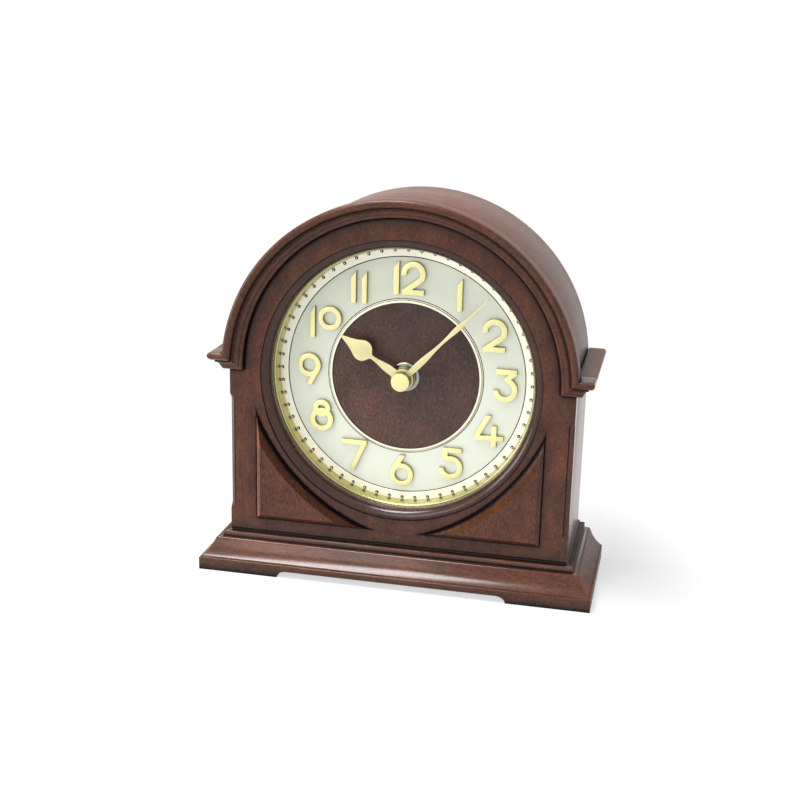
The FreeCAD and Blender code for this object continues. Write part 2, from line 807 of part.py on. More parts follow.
def centre_ring():
    """Raised ring with a flat front and a slope down to the numerals' side."""
    front = dial_plate_depth - centre_ring_thickness
    slope_end = dial_plate_depth - chapter_ring_thickness
    return turned([(centre_ring_inner_radius, front), (centre_ring_inner_radius + centre_ring_flat, front),
                   (centre_ring_outer_radius, slope_end), (centre_ring_outer_radius, dial_plate_depth),
                   (centre_ring_inner_radius, dial_plate_depth)])


def centre_disc():
    return ring(post_radius + post_clearance, centre_ring_inner_radius, washer_back_depth, dial_plate_depth)


def stroke_section(half_width):
    """Corners (across, height) of a bar with bevelled front edges."""
    top = numeral_thickness
    bevel = numeral_bevel
    return [(-half_width, 0), (-half_width, top - bevel), (-half_width + bevel, top),
            (half_width - bevel, top), (half_width, top - bevel), (half_width, 0)]


def bar(start, end):
    """Straight stroke between two (right, up) places of a numeral."""
    run = end[0] - start[0]
    rise = end[1] - start[1]
    length = math.hypot(run, rise)
    across = (-rise / length, run / length)
    corners = [point(start[0] + across[0] * side, chapter_front_depth - height, start[1] + across[1] * side)
               for side, height in stroke_section(numeral_stroke / 2)]
    return straight_face(corners).extrude(FreeCAD.Vector(run, 0, rise))


def bow(centre, radius, start_angle, end_angle):
    """Curved stroke about a centre, from one angle to another, anticlockwise; radius is its middle line."""
    corners = [point(centre[0] + radius + side, chapter_front_depth - height, centre[1])
               for side, height in stroke_section(numeral_stroke / 2)]
    face = straight_face(corners)
    axis_place = point(centre[0], 0, centre[1])
    face.rotate(axis_place, FreeCAD.Vector(0, -1, 0), start_angle)
    return face.revolve(axis_place, FreeCAD.Vector(0, -1, 0), end_angle - start_angle)


def flat_ended(shape, low_x, high_x):
    """Trim strokes to the numeral's height and to a width."""
    half = numeral_height / 2
    trim = block(low_x, high_x, 0, 2 * dial_plate_depth, -half, half)
    return shape.common(trim)


def digit_one(x=0):
    """Upright bar whose top slants down to the left."""
    half = numeral_height / 2
    stroke = numeral_stroke
    upright = bar((x, -half), (x, half))
    slant = straight_face([point(x - stroke, 0, half - 1.35 * stroke), point(x + stroke / 2, 0, half),
                           point(x - stroke, 0, half + stroke)])
    return upright.cut(backwards(slant, 2 * dial_plate_depth))


def digit_two(x=0):
    half = numeral_height / 2
    middle = numeral_bowl_radius - numeral_stroke / 2
    centre = (x, half - numeral_bowl_radius)
    foot = -half + numeral_stroke / 2
    turn_x, turn_z = toward(-38, middle)
    corner = (x - middle, foot)
    shoulder = (centre[0] + turn_x, centre[1] + turn_z)
    parts = [bow(centre, middle, -38, 190), bar(shoulder, corner),
             bar((x - middle - numeral_stroke / 4, foot), (x + middle + numeral_stroke / 4, foot))]
    return flat_ended(joined(parts), x - 2 * middle, x + 2 * middle)


def digit_three():
    half = numeral_height / 2
    middle = numeral_bowl_radius - numeral_stroke / 2
    centre = (0, numeral_bowl_radius - half)
    head = half - numeral_stroke / 2
    parts = [bar((-middle, head), (middle + numeral_stroke / 4, head)), bar((middle, head), (0, centre[1] + middle)),
             bow(centre, middle, -175, 85)]
    return flat_ended(joined(parts), -2 * middle, middle + numeral_stroke / 2)


def digit_four():
    half = numeral_height / 2
    reach = 1.2 * numeral_bowl_radius
    bar_z = -0.43 * half
    upright_x = 0.34 * reach
    parts = [bar((0.14 * reach, half + numeral_stroke), (-reach + numeral_stroke / 4, bar_z)),
             bar((-reach, bar_z), (reach, bar_z)), bar((upright_x, -half), (upright_x, 0.36 * half))]
    return flat_ended(joined(parts), -reach, reach)


def digit_five():
    half = numeral_height / 2
    middle = numeral_bowl_radius - numeral_stroke / 2
    centre = (0, numeral_bowl_radius - half)
    head = half - numeral_stroke / 2
    stem_x, stem_up = toward(128, middle)
    parts = [bar((stem_x - numeral_stroke / 2, head), (middle + numeral_stroke / 4, head)),
             bar((stem_x, half), (stem_x, centre[1] + stem_up)), bow(centre, middle, -175, 128)]
    return flat_ended(joined(parts), -2 * middle, 2 * middle)


def digit_six():
    half = numeral_height / 2
    middle = numeral_bowl_radius - numeral_stroke / 2
    centre = (0, numeral_bowl_radius - half)
    touch_x, touch_up = toward(142, middle)
    parts = [bow(centre, middle, 0, 360), bar((touch_x, centre[1] + touch_up), (0.35 * middle, half + numeral_stroke))]
    return flat_ended(joined(parts), -2 * middle, 2 * middle)


def digit_seven():
    half = numeral_height / 2
    reach = 1.08 * numeral_bowl_radius
    head = half - numeral_stroke / 2
    parts = [bar((-reach, head), (reach, head)),
             bar((reach - numeral_stroke / 2, head), (-0.35 * reach, -half - numeral_stroke))]
    return flat_ended(joined(parts), -reach, reach)


def digit_eight():
    half = numeral_height / 2
    middle = numeral_bowl_radius - numeral_stroke / 2
    small = 0.74 * numeral_bowl_radius - numeral_stroke / 2
    parts = [bow((0, numeral_bowl_radius - half), middle, 0, 360),
             bow((0, half - small - numeral_stroke / 2), small, 0, 360)]
    return joined(parts)


def digit_nine():
    shape = digit_six()
    shape.rotate(FreeCAD.Vector(0, 0, 0), FreeCAD.Vector(0, 1, 0), 180)
    return shape


def digit_zero(x=0):
    middle = numeral_bowl_radius - numeral_stroke / 2
    return bow((x, numeral_height / 2 - numeral_bowl_radius), middle, 0, 360)


def numeral_shape(name):
    bowl = numeral_bowl_radius
    stroke = numeral_stroke
    ten_half = stroke / 2 + numeral_ten_gap / 2 + bowl
    twelve_half = stroke / 2 + numeral_twelve_gap / 2 + bowl
    pair = numeral_pair_pitch / 2
    one_digit = {"1": digit_one, "2": digit_two, "3": digit_three, "4": digit_four, "5": digit_five,
                 "6": digit_six, "7": digit_seven, "8": digit_eight, "9": digit_nine}
    if name == "10":
        shapes = [digit_one(stroke / 2 - ten_half), digit_zero(ten_half - bowl)]
    elif name == "11":
        shapes = [digit_one(-pair), digit_one(pair)]
    elif name == "12":
        shapes = [digit_one(stroke / 2 - twelve_half), digit_two(twelve_half - bowl)]
    else:
        shapes = [one_digit[name]()]
    right, up = numeral_place_shares[name]
    solids = [solid for shape in shapes for solid in shape.Solids]
    whole = Part.makeCompound(solids)
    whole.translate(FreeCAD.Vector(numeral_circle * right, 0, dial_centre_z + numeral_circle * up))
    return whole


def blade(shares, length, half_width, front_depth, angle):
    """Flat hand that points up, then turned clockwise to its angle."""
    right = [point(half_width * width, front_depth, length * along) for along, width in shares]
    left = [point(-half_width * width, front_depth, length * along) for along, width in shares]
    root_right = point(half_width * shares[0][1], front_depth, 0)
    root_left = point(-half_width * shares[0][1], front_depth, 0)
    right_curve = Part.BSplineCurve()
    right_curve.interpolate(right)
    left_curve = Part.BSplineCurve()
    left_curve.interpolate(list(reversed(left)))
    edges = [Part.LineSegment(root_right, right[0]).toShape(), right_curve.toShape(),
             Part.LineSegment(right[-1], left[-1]).toShape(), left_curve.toShape(),
             Part.LineSegment(left[0], root_left).toShape(), Part.LineSegment(root_left, root_right).toShape()]
    shape = backwards(Part.Face(Part.Wire(edges)), hand_thickness)
    shape.rotate(point(0, 0, 0), FreeCAD.Vector(0, 1, 0), angle)
    shape.translate(FreeCAD.Vector(0, 0, dial_centre_z))
    return shape


def hand(shares, length, half_width, hub_radius, front_depth, back_depth, bore, angle):
    hub = disc(hub_radius, front_depth + hand_thickness, back_depth)
    plate = disc(hub_radius, front_depth, front_depth + hand_thickness)
    shape = joined([blade(shares, length, half_width, front_depth, angle), plate, hub])
    return shape.cut(disc(bore, front_depth - overrun, back_depth + overrun))


def hour_hand():
    return hand(hour_outline_shares, hour_hand_length, hour_hand_half_width, hour_hand_hub_radius,
                hour_hub_front_depth, hour_hub_back_depth, hour_pipe_radius, hour_hand_angle)


def minute_hand():
    return hand(minute_outline_shares, minute_hand_length, minute_hand_half_width, minute_hand_hub_radius,
                minute_hub_front_depth, minute_hub_back_depth, minute_arbor_radius, minute_hand_angle)


def hand_cap():
    edge = hand_cap_round
    front = cap_front_depth
    back = minute_hub_front_depth
    shape = turned([(0, front), (hand_cap_radius - edge, front), (hand_cap_radius, front + edge),
                    (hand_cap_radius, back), (0, back)])
    return shape.cut(disc(minute_arbor_radius, back - hand_cap_bore, back + overrun))


def dial_washer():
    edge = washer_round
    bore = post_radius + post_clearance
    return turned([(bore, washer_front_depth), (washer_radius - edge, washer_front_depth),
                   (washer_radius, washer_front_depth + edge), (washer_radius, washer_back_depth),
                   (bore, washer_back_depth)])


def dial_nut():
    edge = nut_bevel
    return turned([(post_radius, nut_front_depth), (nut_radius - edge, nut_front_depth),
                   (nut_radius, nut_front_depth + edge), (nut_radius, washer_front_depth),
                   (post_radius, washer_front_depth)])


def rubber_washer():
    front = dial_plate_depth + dial_plate_thickness
    return ring(post_radius + post_clearance, rubber_washer_radius, front, movement_front_depth)


def centres():
    """Right and up offsets of each arbor from the dial's centre."""
    intermediate = toward(intermediate_direction, motion_centre_distance)
    knob_offset = toward(knob_direction, motion_centre_distance)
    knob = (intermediate[0] + knob_offset[0], intermediate[1] + knob_offset[1])
    return {"main": (0, 0), "intermediate": intermediate, "knob": knob,
            "third": toward(third_direction, third_centre_distance),
            "fifth": toward(fifth_direction, fifth_centre_distance),
            "rotor": (rotor_x, rotor_z)}


centre = centres()


def direction(start, end):
    """Angle from one arbor to another, anticlockwise from +X as seen from the front."""
    return math.degrees(math.atan2(centre[end][1] - centre[start][1], centre[end][0] - centre[start][0]))


def distance(start, end):
    return math.hypot(centre[end][0] - centre[start][0], centre[end][1] - centre[start][1])


def gear(where, teeth, mate_where, mate_teeth, front_depth, back_depth, phase):
    """Toothed disc; its module follows from the distance to its mate's arbor."""
    module = 2 * distance(where, mate_where) / (teeth + mate_teeth)
    radius = module * teeth / 2
    root = radius - tooth_dedendum_share * module
    tip = radius + tooth_addendum_share * module
    pitch = 2 * math.pi * radius / teeth
    x0, z0 = centre[where]
    corners = []
    for index in range(teeth):
        middle = math.radians(phase) + 2 * math.pi * index / teeth
        flank = [(root, -tooth_root_share), (radius, -tooth_pitch_share), (tip, -tooth_tip_share),
                 (tip, tooth_tip_share), (radius, tooth_pitch_share), (root, tooth_root_share)]
        for corner_radius, share in flank:
            angle = middle + share * pitch / radius
            corners.append(point(x0 + corner_radius * math.cos(angle), front_depth,
                                 dial_centre_z + z0 + corner_radius * math.sin(angle)))
    return backwards(straight_face(corners), back_depth - front_depth)


def mating_phase(phase, teeth, mate_teeth, line):
    """Phase of a gear whose gap receives the tooth that its mate brings nearest to the line of centres."""
    pitch = 360 / teeth
    offset = (phase - line + pitch / 2) % pitch - pitch / 2
    return line + 180 - offset * teeth / mate_teeth + 180 / mate_teeth


def phases():
    """Tooth phase of every gear, so that each pair is in mesh at rest."""
    cannon = direction("main", "intermediate")
    intermediate = mating_phase(cannon, cannon_teeth, intermediate_teeth, direction("main", "intermediate"))
    knob = mating_phase(intermediate, intermediate_teeth, knob_teeth, direction("intermediate", "knob"))
    pinion = direction("intermediate", "main")
    hour = mating_phase(pinion, intermediate_pinion_teeth, hour_teeth, direction("intermediate", "main"))
    rotor = direction("rotor", "fifth")
    fifth = mating_phase(rotor, rotor_teeth, fifth_teeth, direction("rotor", "fifth"))
    fifth_pinion = direction("fifth", "main")
    seconds = mating_phase(fifth_pinion, fifth_pinion_teeth, seconds_teeth, direction("fifth", "main"))
    seconds_pinion = direction("main", "third")
    third = mating_phase(seconds_pinion, seconds_pinion_teeth, third_teeth, direction("main", "third"))
    third_pinion = direction("third", "main")
    middle = mating_phase(third_pinion, third_pinion_teeth, centre_teeth, direction("third", "main"))
    return {"cannon": cannon, "intermediate": intermediate, "knob": knob, "intermediate_pinion": pinion,
            "hour": hour, "rotor": rotor, "fifth": fifth, "fifth_pinion": fifth_pinion, "seconds": seconds,
            "seconds_pinion": seconds_pinion, "third": third, "third_pinion": third_pinion, "centre": middle}


phase = phases()


def shaft(where, radius, front_depth, back_depth):
    x, up = centre[where]
    return disc(radius, front_depth, back_depth, x, dial_centre_z + up)


def arbor(where):
    """Thin arbor that pivots in the movement's front wall and in its cover."""
    front = chamber_front_depth - pivot_depth + pivot_end_gap
    back = chamber_back_depth + pivot_depth - pivot_end_gap
    return shaft(where, arbor_radius, front, back)


def wheel_at(where, teeth, mate_where, mate_teeth, front_depth, name):
    return gear(where, teeth, mate_where, mate_teeth, front_depth, front_depth + wheel_thickness, phase[name])


def pinion_at(where, teeth, mate_where, mate_teeth, mate_front, name):
    """Pinion a little longer than the wheel that it meets."""
    return gear(where, teeth, mate_where, mate_teeth, mate_front - pinion_overlap,
                mate_front + wheel_thickness + pinion_overlap, phase[name])


def hour_wheel():
    wheel = wheel_at("main", hour_teeth, "intermediate", intermediate_pinion_teeth, level["hour"], "hour")
    pipe = disc(hour_pipe_radius, hour_hub_front_depth, level["hour"] + wheel_thickness)
    bore = disc(hour_pipe_bore, hour_hub_front_depth - overrun, level["hour"] + wheel_thickness + overrun)
    return joined([wheel, pipe]).cut(bore)


def intermediate_wheel():
    wheel = wheel_at("intermediate", intermediate_teeth, "main", cannon_teeth, level["motion"], "intermediate")
    pinion_back = level["motion"]
    pinion = gear("intermediate", intermediate_pinion_teeth, "main", hour_teeth,
                  level["hour"] - pinion_overlap, pinion_back, phase["intermediate_pinion"])
    return joined([arbor("intermediate"), wheel, pinion])


def minute_arbor():
    """Arbor that carries the minute hand in front, the cannon pinion, and the centre wheel's seat."""
    front = minute_hub_front_depth - hand_cap_bore + hand_gap
    pinion_back = level["motion"] + wheel_thickness + pinion_overlap
    back = level["centre"] + wheel_thickness + level_gap
    stem = disc(minute_arbor_radius, front, pinion_back)
    pinion = pinion_at("main", cannon_teeth, "intermediate", intermediate_teeth, level["motion"], "cannon")
    seat = disc(minute_seat_radius, pinion_back, back)
    socket = disc(arbor_radius + pivot_clearance, back - pivot_depth, back + overrun)
    return joined([stem, pinion, seat]).cut(socket)


def centre_wheel():
    wheel = wheel_at("main", centre_teeth, "third", third_pinion_teeth, level["centre"], "centre")
    bore_radius = minute_seat_radius + pivot_clearance
    return wheel.cut(disc(bore_radius, level["centre"] - overrun, level["third"]))


def third_wheel():
    wheel = wheel_at("third", third_teeth, "main", seconds_pinion_teeth, level["third"], "third")
    pinion = pinion_at("third", third_pinion_teeth, "main", centre_teeth, level["centre"], "third_pinion")
    return joined([arbor("third"), wheel, pinion])


def seconds_wheel():
    front = level["centre"] + wheel_thickness + level_gap - pivot_depth + pivot_end_gap
    stem = disc(arbor_radius, front, chamber_back_depth + pivot_depth - pivot_end_gap)
    wheel = wheel_at("main", seconds_teeth, "fifth", fifth_pinion_teeth, level["seconds"], "seconds")
    pinion = gear("main", seconds_pinion_teeth, "third", third_teeth, level["third"] - pinion_overlap,
                  level["seconds"], phase["seconds_pinion"])
    return joined([stem, wheel, pinion])


def fifth_wheel():
    wheel = wheel_at("fifth", fifth_teeth, "rotor", rotor_teeth, level["fifth"], "fifth")
    pinion = pinion_at("fifth", fifth_pinion_teeth, "main", seconds_teeth, level["seconds"], "fifth_pinion")
    return joined([arbor("fifth"), wheel, pinion])


def rotor():
    magnet = shaft("rotor", rotor_magnet_radius, level["magnet"], level["magnet"] + rotor_magnet_length)
    pinion = gear("rotor", rotor_teeth, "fifth", fifth_teeth, level["fifth"] - pinion_overlap,
                  level["magnet"], phase["rotor"])
    return joined([arbor("rotor"), magnet, pinion])


def setting_knob():
    """Shaft with a pinion inside the movement and a ribbed knob behind it."""
    back = movement_back_depth + knob_gap + knob_length
    stem = shaft("knob", knob_shaft_radius, chamber_front_depth + level_gap, back)
    pivot = shaft("knob", arbor_radius, chamber_front_depth - pivot_depth + pivot_end_gap, back)
    pinion = pinion_at("knob", knob_teeth, "intermediate", intermediate_teeth, level["motion"], "knob")
    x0, z0 = centre["knob"]
    corners = []
    for index in range(2 * knob_groove_count):
        radius = knob_radius if index % 2 else knob_radius - knob_groove_depth
        x, up = toward(180 * index / knob_groove_count, radius)
        corners.append(point(x0 + x, back - knob_length, dial_centre_z + z0 + up))
    head = backwards(straight_face(corners), knob_length)
    return joined([stem, pivot, pinion, head])


def movement_outline(front_depth, back_depth):
    half = movement_half_size
    box = block(-half, half, front_depth, back_depth, dial_centre_z - half, dial_centre_z + half)
    edges = [edge for edge in box.Edges if abs(edge.tangentAt(edge.FirstParameter).y) > 0.5]
    return box.makeFillet(movement_corner_round, edges)


def support_posts():
    """Places of the posts for the circuit board and the stator, with the depth that each reaches."""
    board_front = chamber_front_depth + board_depth_in_chamber
    stator_front = level["magnet"] + (rotor_magnet_length - stator_thickness) / 2
    left = board_left_gap + movement_wall + 2 * support_post_radius - movement_half_size
    top = board_centre_z + board_half_height / 2
    return [(left, top, board_front), (board_right_x - 2 * support_post_radius, top, board_front),
            (stator_left_x + stator_arm_width / 2, stator_top_z - stator_arm_width / 2, stator_front),
            (stator_right_x - 1.5 * support_post_radius, stator_bottom_z + 1.5 * support_post_radius, stator_front)]


def movement_housing():
    """Moulded case open at the back: a chamber for the wheels over a bay for the battery."""
    body = movement_outline(movement_front_depth, movement_back_depth)
    half = movement_half_size
    wall = movement_wall
    back = movement_back_depth + overrun
    chamber = block(-half + wall, half - wall, chamber_front_depth, back,
                    dial_centre_z + partition_top_z, dial_centre_z + half - wall)
    bay_top = dial_centre_z + battery_z + battery_radius + battery_side_gap
    bay = block(-half + wall, half - wall, chamber_front_depth, back, dial_centre_z - half + wall, bay_top)
    body = body.cut(chamber).cut(bay)
    post = disc(post_radius, post_front_depth, movement_front_depth)
    body = body.fuse(post)
    for x, up, reach in support_posts():
        body = body.fuse(disc(support_post_radius, chamber_front_depth, reach, x, dial_centre_z + up))
    body = body.removeSplitter().cut(disc(post_bore, post_front_depth - overrun, chamber_front_depth + overrun))
    hole = arbor_radius + pivot_clearance
    for where in ("intermediate", "knob", "third", "fifth", "rotor"):
        body = body.cut(shaft(where, hole, chamber_front_depth - pivot_depth, chamber_front_depth + level_gap / 2))
    return body.cut(contact_tab(1)).cut(contact_tab(-1))


def movement_cover():
    """Flat cover over the wheel chamber, flush with the back of the housing."""
    gap = movement_wall + movement_fit_gap
    half = movement_half_size
    plate = block(-half + gap, half - gap, chamber_back_depth, movement_back_depth,
                  dial_centre_z + partition_top_z + movement_fit_gap, dial_centre_z + half - gap)
    hole = arbor_radius + pivot_clearance
    for where in ("intermediate", "main", "third", "fifth", "rotor"):
        plate = plate.cut(shaft(where, hole, chamber_back_depth - level_gap / 2, chamber_back_depth + pivot_depth))
    reach = movement_back_depth + overrun
    return plate.cut(shaft("knob", knob_shaft_radius + pivot_clearance, chamber_back_depth - overrun, reach))


def along_x(radius, low_x, high_x, depth, z):
    return Part.makeCylinder(radius, high_x - low_x, point(low_x, depth, z), FreeCAD.Vector(1, 0, 0))


def battery():
    """Size AA cell, its plus end to the right as seen from the front."""
    z = dial_centre_z + battery_z
    right = movement_half_size - movement_wall - contact_thickness - battery_nub_length
    can = along_x(battery_radius, right - battery_length, right, battery_depth, z)
    nub = along_x(battery_nub_radius, right, right + battery_nub_length, battery_depth, z)
    return joined([can, nub])


def contact_tab(side):
    """Solder tab that passes through the partition over the battery bay."""
    inner = movement_half_size - movement_wall
    low = dial_centre_z + battery_z
    high = dial_centre_z + partition_top_z + contact_tab_rise
    tab = block(inner - contact_thickness, inner, battery_depth - contact_tab_width / 2,
                battery_depth + contact_tab_width / 2, low, high)
    return tab if side > 0 else mirrored(tab)


def contact_plate(side):
    inner = movement_half_size - movement_wall
    half = contact_width / 2
    z = dial_centre_z + battery_z
    plate = block(inner - contact_thickness, inner, battery_depth - half, battery_depth + half, z - half, z + half)
    plate = plate if side > 0 else mirrored(plate)
    return joined([plate, contact_tab(side)])


def contact_plus():
    return contact_plate(1)


def contact_minus():
    """Plate with a bowed spring that presses on the battery's flat end."""
    z = dial_centre_z + battery_z
    plate_x = contact_thickness - (movement_half_size - movement_wall)
    battery_left = -plate_x - battery_nub_length - battery_length
    half = contact_spring_half_length
    front = battery_depth - contact_spring_width / 2
    thick = contact_thickness
    segments = [[point(battery_left, front, z), point(plate_x, front, z + half)],
                [point(plate_x, front, z + half - thick)],
                [point(battery_left - thick, front, z), point(plate_x, front, z - half + thick)]]
    spring = backwards(face_through(point(plate_x, front, z - half), segments), contact_spring_width)
    return joined([contact_plate(-1), spring])


def circuit_board():
    """Board with its sealed chip and the can of the quartz crystal."""
    left = movement_wall + board_left_gap - movement_half_size
    front = chamber_front_depth + board_depth_in_chamber
    back = front + board_thickness
    z = dial_centre_z + board_centre_z
    board = block(left, board_right_x, front, back, z - board_half_height, z + board_half_height)
    chip = disc(board_chip_radius, back, back + board_chip_height, (left + board_right_x) / 2, z)
    crystal_x = board_right_x - crystal_length - board_left_gap
    crystal = along_x(crystal_radius, crystal_x, crystal_x + crystal_length, back + crystal_radius, z)
    return Part.makeCompound([board, chip, crystal])


def stator():
    """Soft iron frame: the rotor turns in its lower bar, and the coil sits on its upper bar."""
    front = level["magnet"] + (rotor_magnet_length - stator_thickness) / 2
    back = front + stator_thickness
    zero = dial_centre_z
    frame = block(stator_left_x, stator_right_x, front, back, zero + stator_bottom_z, zero + stator_top_z)
    window = block(stator_left_x + stator_arm_width, stator_right_x - stator_arm_width, front - overrun,
                   back + overrun, zero + stator_bar_top_z, zero + stator_top_z - stator_arm_width)
    frame = frame.cut(window)
    frame = frame.cut(shaft("rotor", rotor_magnet_radius + rotor_air_gap, front - overrun, back + overrun))
    return frame.cut(shaft("fifth", 3 * arbor_radius, front - overrun, back + overrun))


def coil():
    """Flanged bobbin wound full, with a slot for the stator's upper bar."""
    depth = level["magnet"] + rotor_magnet_length / 2
    z = dial_centre_z + stator_top_z - stator_arm_width / 2
    middle = (stator_left_x + stator_right_x) / 2
    half = coil_length / 2
    winding = along_x(coil_radius, middle - half, middle + half, depth, z)
    for low in (middle - half, middle + half - coil_flange_thickness):
        winding = winding.fuse(along_x(coil_flange_radius, low, low + coil_flange_thickness, depth, z))
    slot_half_z = stator_arm_width / 2 + coil_fit_gap
    slot_half_depth = stator_thickness / 2 + coil_fit_gap
    slot = block(middle - coil_length, middle + coil_length, depth - slot_half_depth, depth + slot_half_depth,
                 z - slot_half_z, z + slot_half_z)
    return winding.removeSplitter().cut(slot)


def clock():
    """Every piece, by node name."""
    spandrel = spandrel_right()
    ear = ear_right()
    side_cornice = side_cornice_right()
    side = side_right()
    pieces = {
        "plinth": plinth(), "step_board": step_board(), "base_screws": base_screws(),
        "case_floor": case_floor(), "front_panel": front_panel(),
        "side_left": mirrored(side), "side_right": side, "arch_shell": arch_shell(),
        "back_panel": back_panel(), "back_cleats": back_cleats(), "back_screws": back_screws(),
        "arch_moulding": arch_moulding(), "ear_left": mirrored(ear), "ear_right": ear,
        "side_cornice_left": mirrored(side_cornice), "side_cornice_right": side_cornice,
        "spandrel_left": mirrored(spandrel), "spandrel_right": spandrel,
        "bezel": bezel(), "bezel_screws": bezel_screws(), "dial_plate": dial_plate(),
        "minute_ring": minute_ring(), "chapter_ring": chapter_ring(), "centre_ring": centre_ring(),
        "centre_disc": centre_disc(), "dial_washer": dial_washer(), "dial_nut": dial_nut(),
        "rubber_washer": rubber_washer(), "movement_housing": movement_housing(),
        "movement_cover": movement_cover(), "battery": battery(), "contact_plus": contact_plus(),
        "contact_minus": contact_minus(), "circuit_board": circuit_board(), "stator": stator(),
        "coil": coil(), "rotor": rotor(), "fifth_wheel": fifth_wheel(), "seconds_wheel": seconds_wheel(),
        "third_wheel": third_wheel(), "centre_wheel": centre_wheel(), "minute_arbor": minute_arbor(),
        "intermediate_wheel": intermediate_wheel(), "hour_wheel": hour_wheel(),
        "setting_knob": setting_knob(), "hour_hand": hour_hand(), "minute_hand": minute_hand(),
        "hand_cap": hand_cap(),
    }
    for name in numeral_place_shares:
        pieces["numeral_" + name] = numeral_shape(name)
    return pieces


def main():
    os.makedirs("parts", exist_ok=True)
    for name, shape in clock().items():
        shape.exportStep(os.path.join("parts", name + ".step"))


main()
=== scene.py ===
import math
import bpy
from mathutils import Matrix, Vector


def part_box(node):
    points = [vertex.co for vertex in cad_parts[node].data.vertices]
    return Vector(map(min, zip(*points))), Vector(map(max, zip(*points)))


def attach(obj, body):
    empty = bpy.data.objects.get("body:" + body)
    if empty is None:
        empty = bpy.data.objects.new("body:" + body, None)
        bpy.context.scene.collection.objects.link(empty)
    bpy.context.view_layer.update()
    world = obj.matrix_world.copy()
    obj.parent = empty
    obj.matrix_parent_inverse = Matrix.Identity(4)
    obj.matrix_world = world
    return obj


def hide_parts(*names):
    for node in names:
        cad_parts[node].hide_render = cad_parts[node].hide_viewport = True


bl_info = {
    "name": "Arched mantel clock",
    "version": (1, 0, 0),
    "blender": (4, 5, 0),
    "location": "3D View > Sidebar > Clock",
    "description": "Models the case, the dial and the hands of a mantel clock around its solids",
    "category": "Add Mesh",
}

import bmesh
import bpy
from bpy.props import FloatProperty, FloatVectorProperty, PointerProperty
from mathutils import Matrix, Vector

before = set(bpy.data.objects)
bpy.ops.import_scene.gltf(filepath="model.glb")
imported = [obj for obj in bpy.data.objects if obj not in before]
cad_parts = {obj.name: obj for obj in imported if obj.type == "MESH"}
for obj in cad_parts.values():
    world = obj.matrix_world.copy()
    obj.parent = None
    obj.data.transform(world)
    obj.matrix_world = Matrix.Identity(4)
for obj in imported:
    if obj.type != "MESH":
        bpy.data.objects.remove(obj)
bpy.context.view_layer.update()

MM = 0.001
TURN = 2 * math.pi
DIAGONAL = math.sqrt(0.5)
UP = Vector((0, 0, 1))
BACK = Vector((0, 1, 0))
RIGHT = Vector((1, 0, 0))
CASE_BODY = "case"
HOUR_BODY = "hour_hand_group"
MINUTE_BODY = "minute_hand_group"

# Millimetres. A depth is measured backwards from the front face of the case.
FACE_Y = -25.0
CASE_DEPTH = 62.0
CASE_HALF = 86.4
CASE_FOOT = 19.5
ARCH_Z = 105.7
DIAL_Z = 103.5
PANEL = 8.0
WALL = 8.0
BACK_BOARD = 3.0
BASE_HALF = 100.0
BASE_DEPTH = 74.0
PLINTH_TOP = 15.8
CORNICE_R = 78.9
CORNICE_FOOT = 104.7
EAR_BACK = 3.0
EAR_GAP = 0.35

# Where the opening's rounded edge meets the face, and the outline of the corner panels
OPENING_RIM = 70.5
CORNER_OUTER = 72.3
CORNER_FOOT = 27.0
CORNER_ARC_X = -19.9
CORNER_ARC_Z = 121.1
CORNER_ARC_R = 100.5

# How deep the faces of the dial lie, and the plate behind them
RING_FRONT = 15.0
DISC_FRONT = 15.1
CHAPTER_FRONT = 15.2
DIAL_BACK = 15.6

# Outer radius of the round of a numeral, and how far its bars run past it
BOWL = 6.05
OVERRUN = 0.65

ROUND_STEPS = 192
ARCH_STEPS = 128
SCREW_STEPS = 32
FINE = 0.0005 * MM

# How far a cutting tool reaches past what it cuts
CLEAR = 2.0

# Where the camera looks
CAMERA_TARGET = (0.91, 0, 95.64)

# The plinth's section: how far each point stands inside the edge, and its height
PLINTH_SECTION = [
    (0.0, 6.05), (0.06, 6.32), (0.25, 6.54), (0.52, 6.6), (1.35, 7.2), (2.35, 8.05), (3.35, 9.0),
    (4.25, 10.05), (5.05, 11.25), (5.7, 12.5), (6.2, 13.6), (6.55, 14.35), (6.75, 14.85),
    (7.05, 15.35), (7.5, 15.7), (8.1, 15.8),
]
STEP_SECTION = [
    (9.9, 17.85), (9.96, 18.12), (10.12, 18.3), (10.4, 18.4), (12.15, 18.4), (12.3, 18.46),
    (12.6, 18.75), (12.6, 19.2), (12.66, 19.36), (12.8, 19.46), (13.05, 19.5),
]

# The cornice's section: outwards from the case, and upwards from its foot
CORNICE_SECTION = [
    (0.0, 0.0), (1.35, 0.0), (1.8, 0.04), (2.3, 0.2), (2.75, 0.55), (3.05, 1.0), (3.25, 1.5),
    (3.32, 1.85), (3.62, 1.87), (3.75, 2.5), (4.05, 3.1), (4.55, 3.65), (5.15, 4.05), (5.8, 4.28),
    (5.82, 5.2), (6.6, 5.3), (7.3, 5.55), (7.95, 6.0), (8.4, 6.6), (8.7, 7.2), (8.8, 7.7),
    (8.72, 8.3), (8.45, 8.8), (8.0, 9.15), (7.4, 9.3), (0.0, 9.3),
]

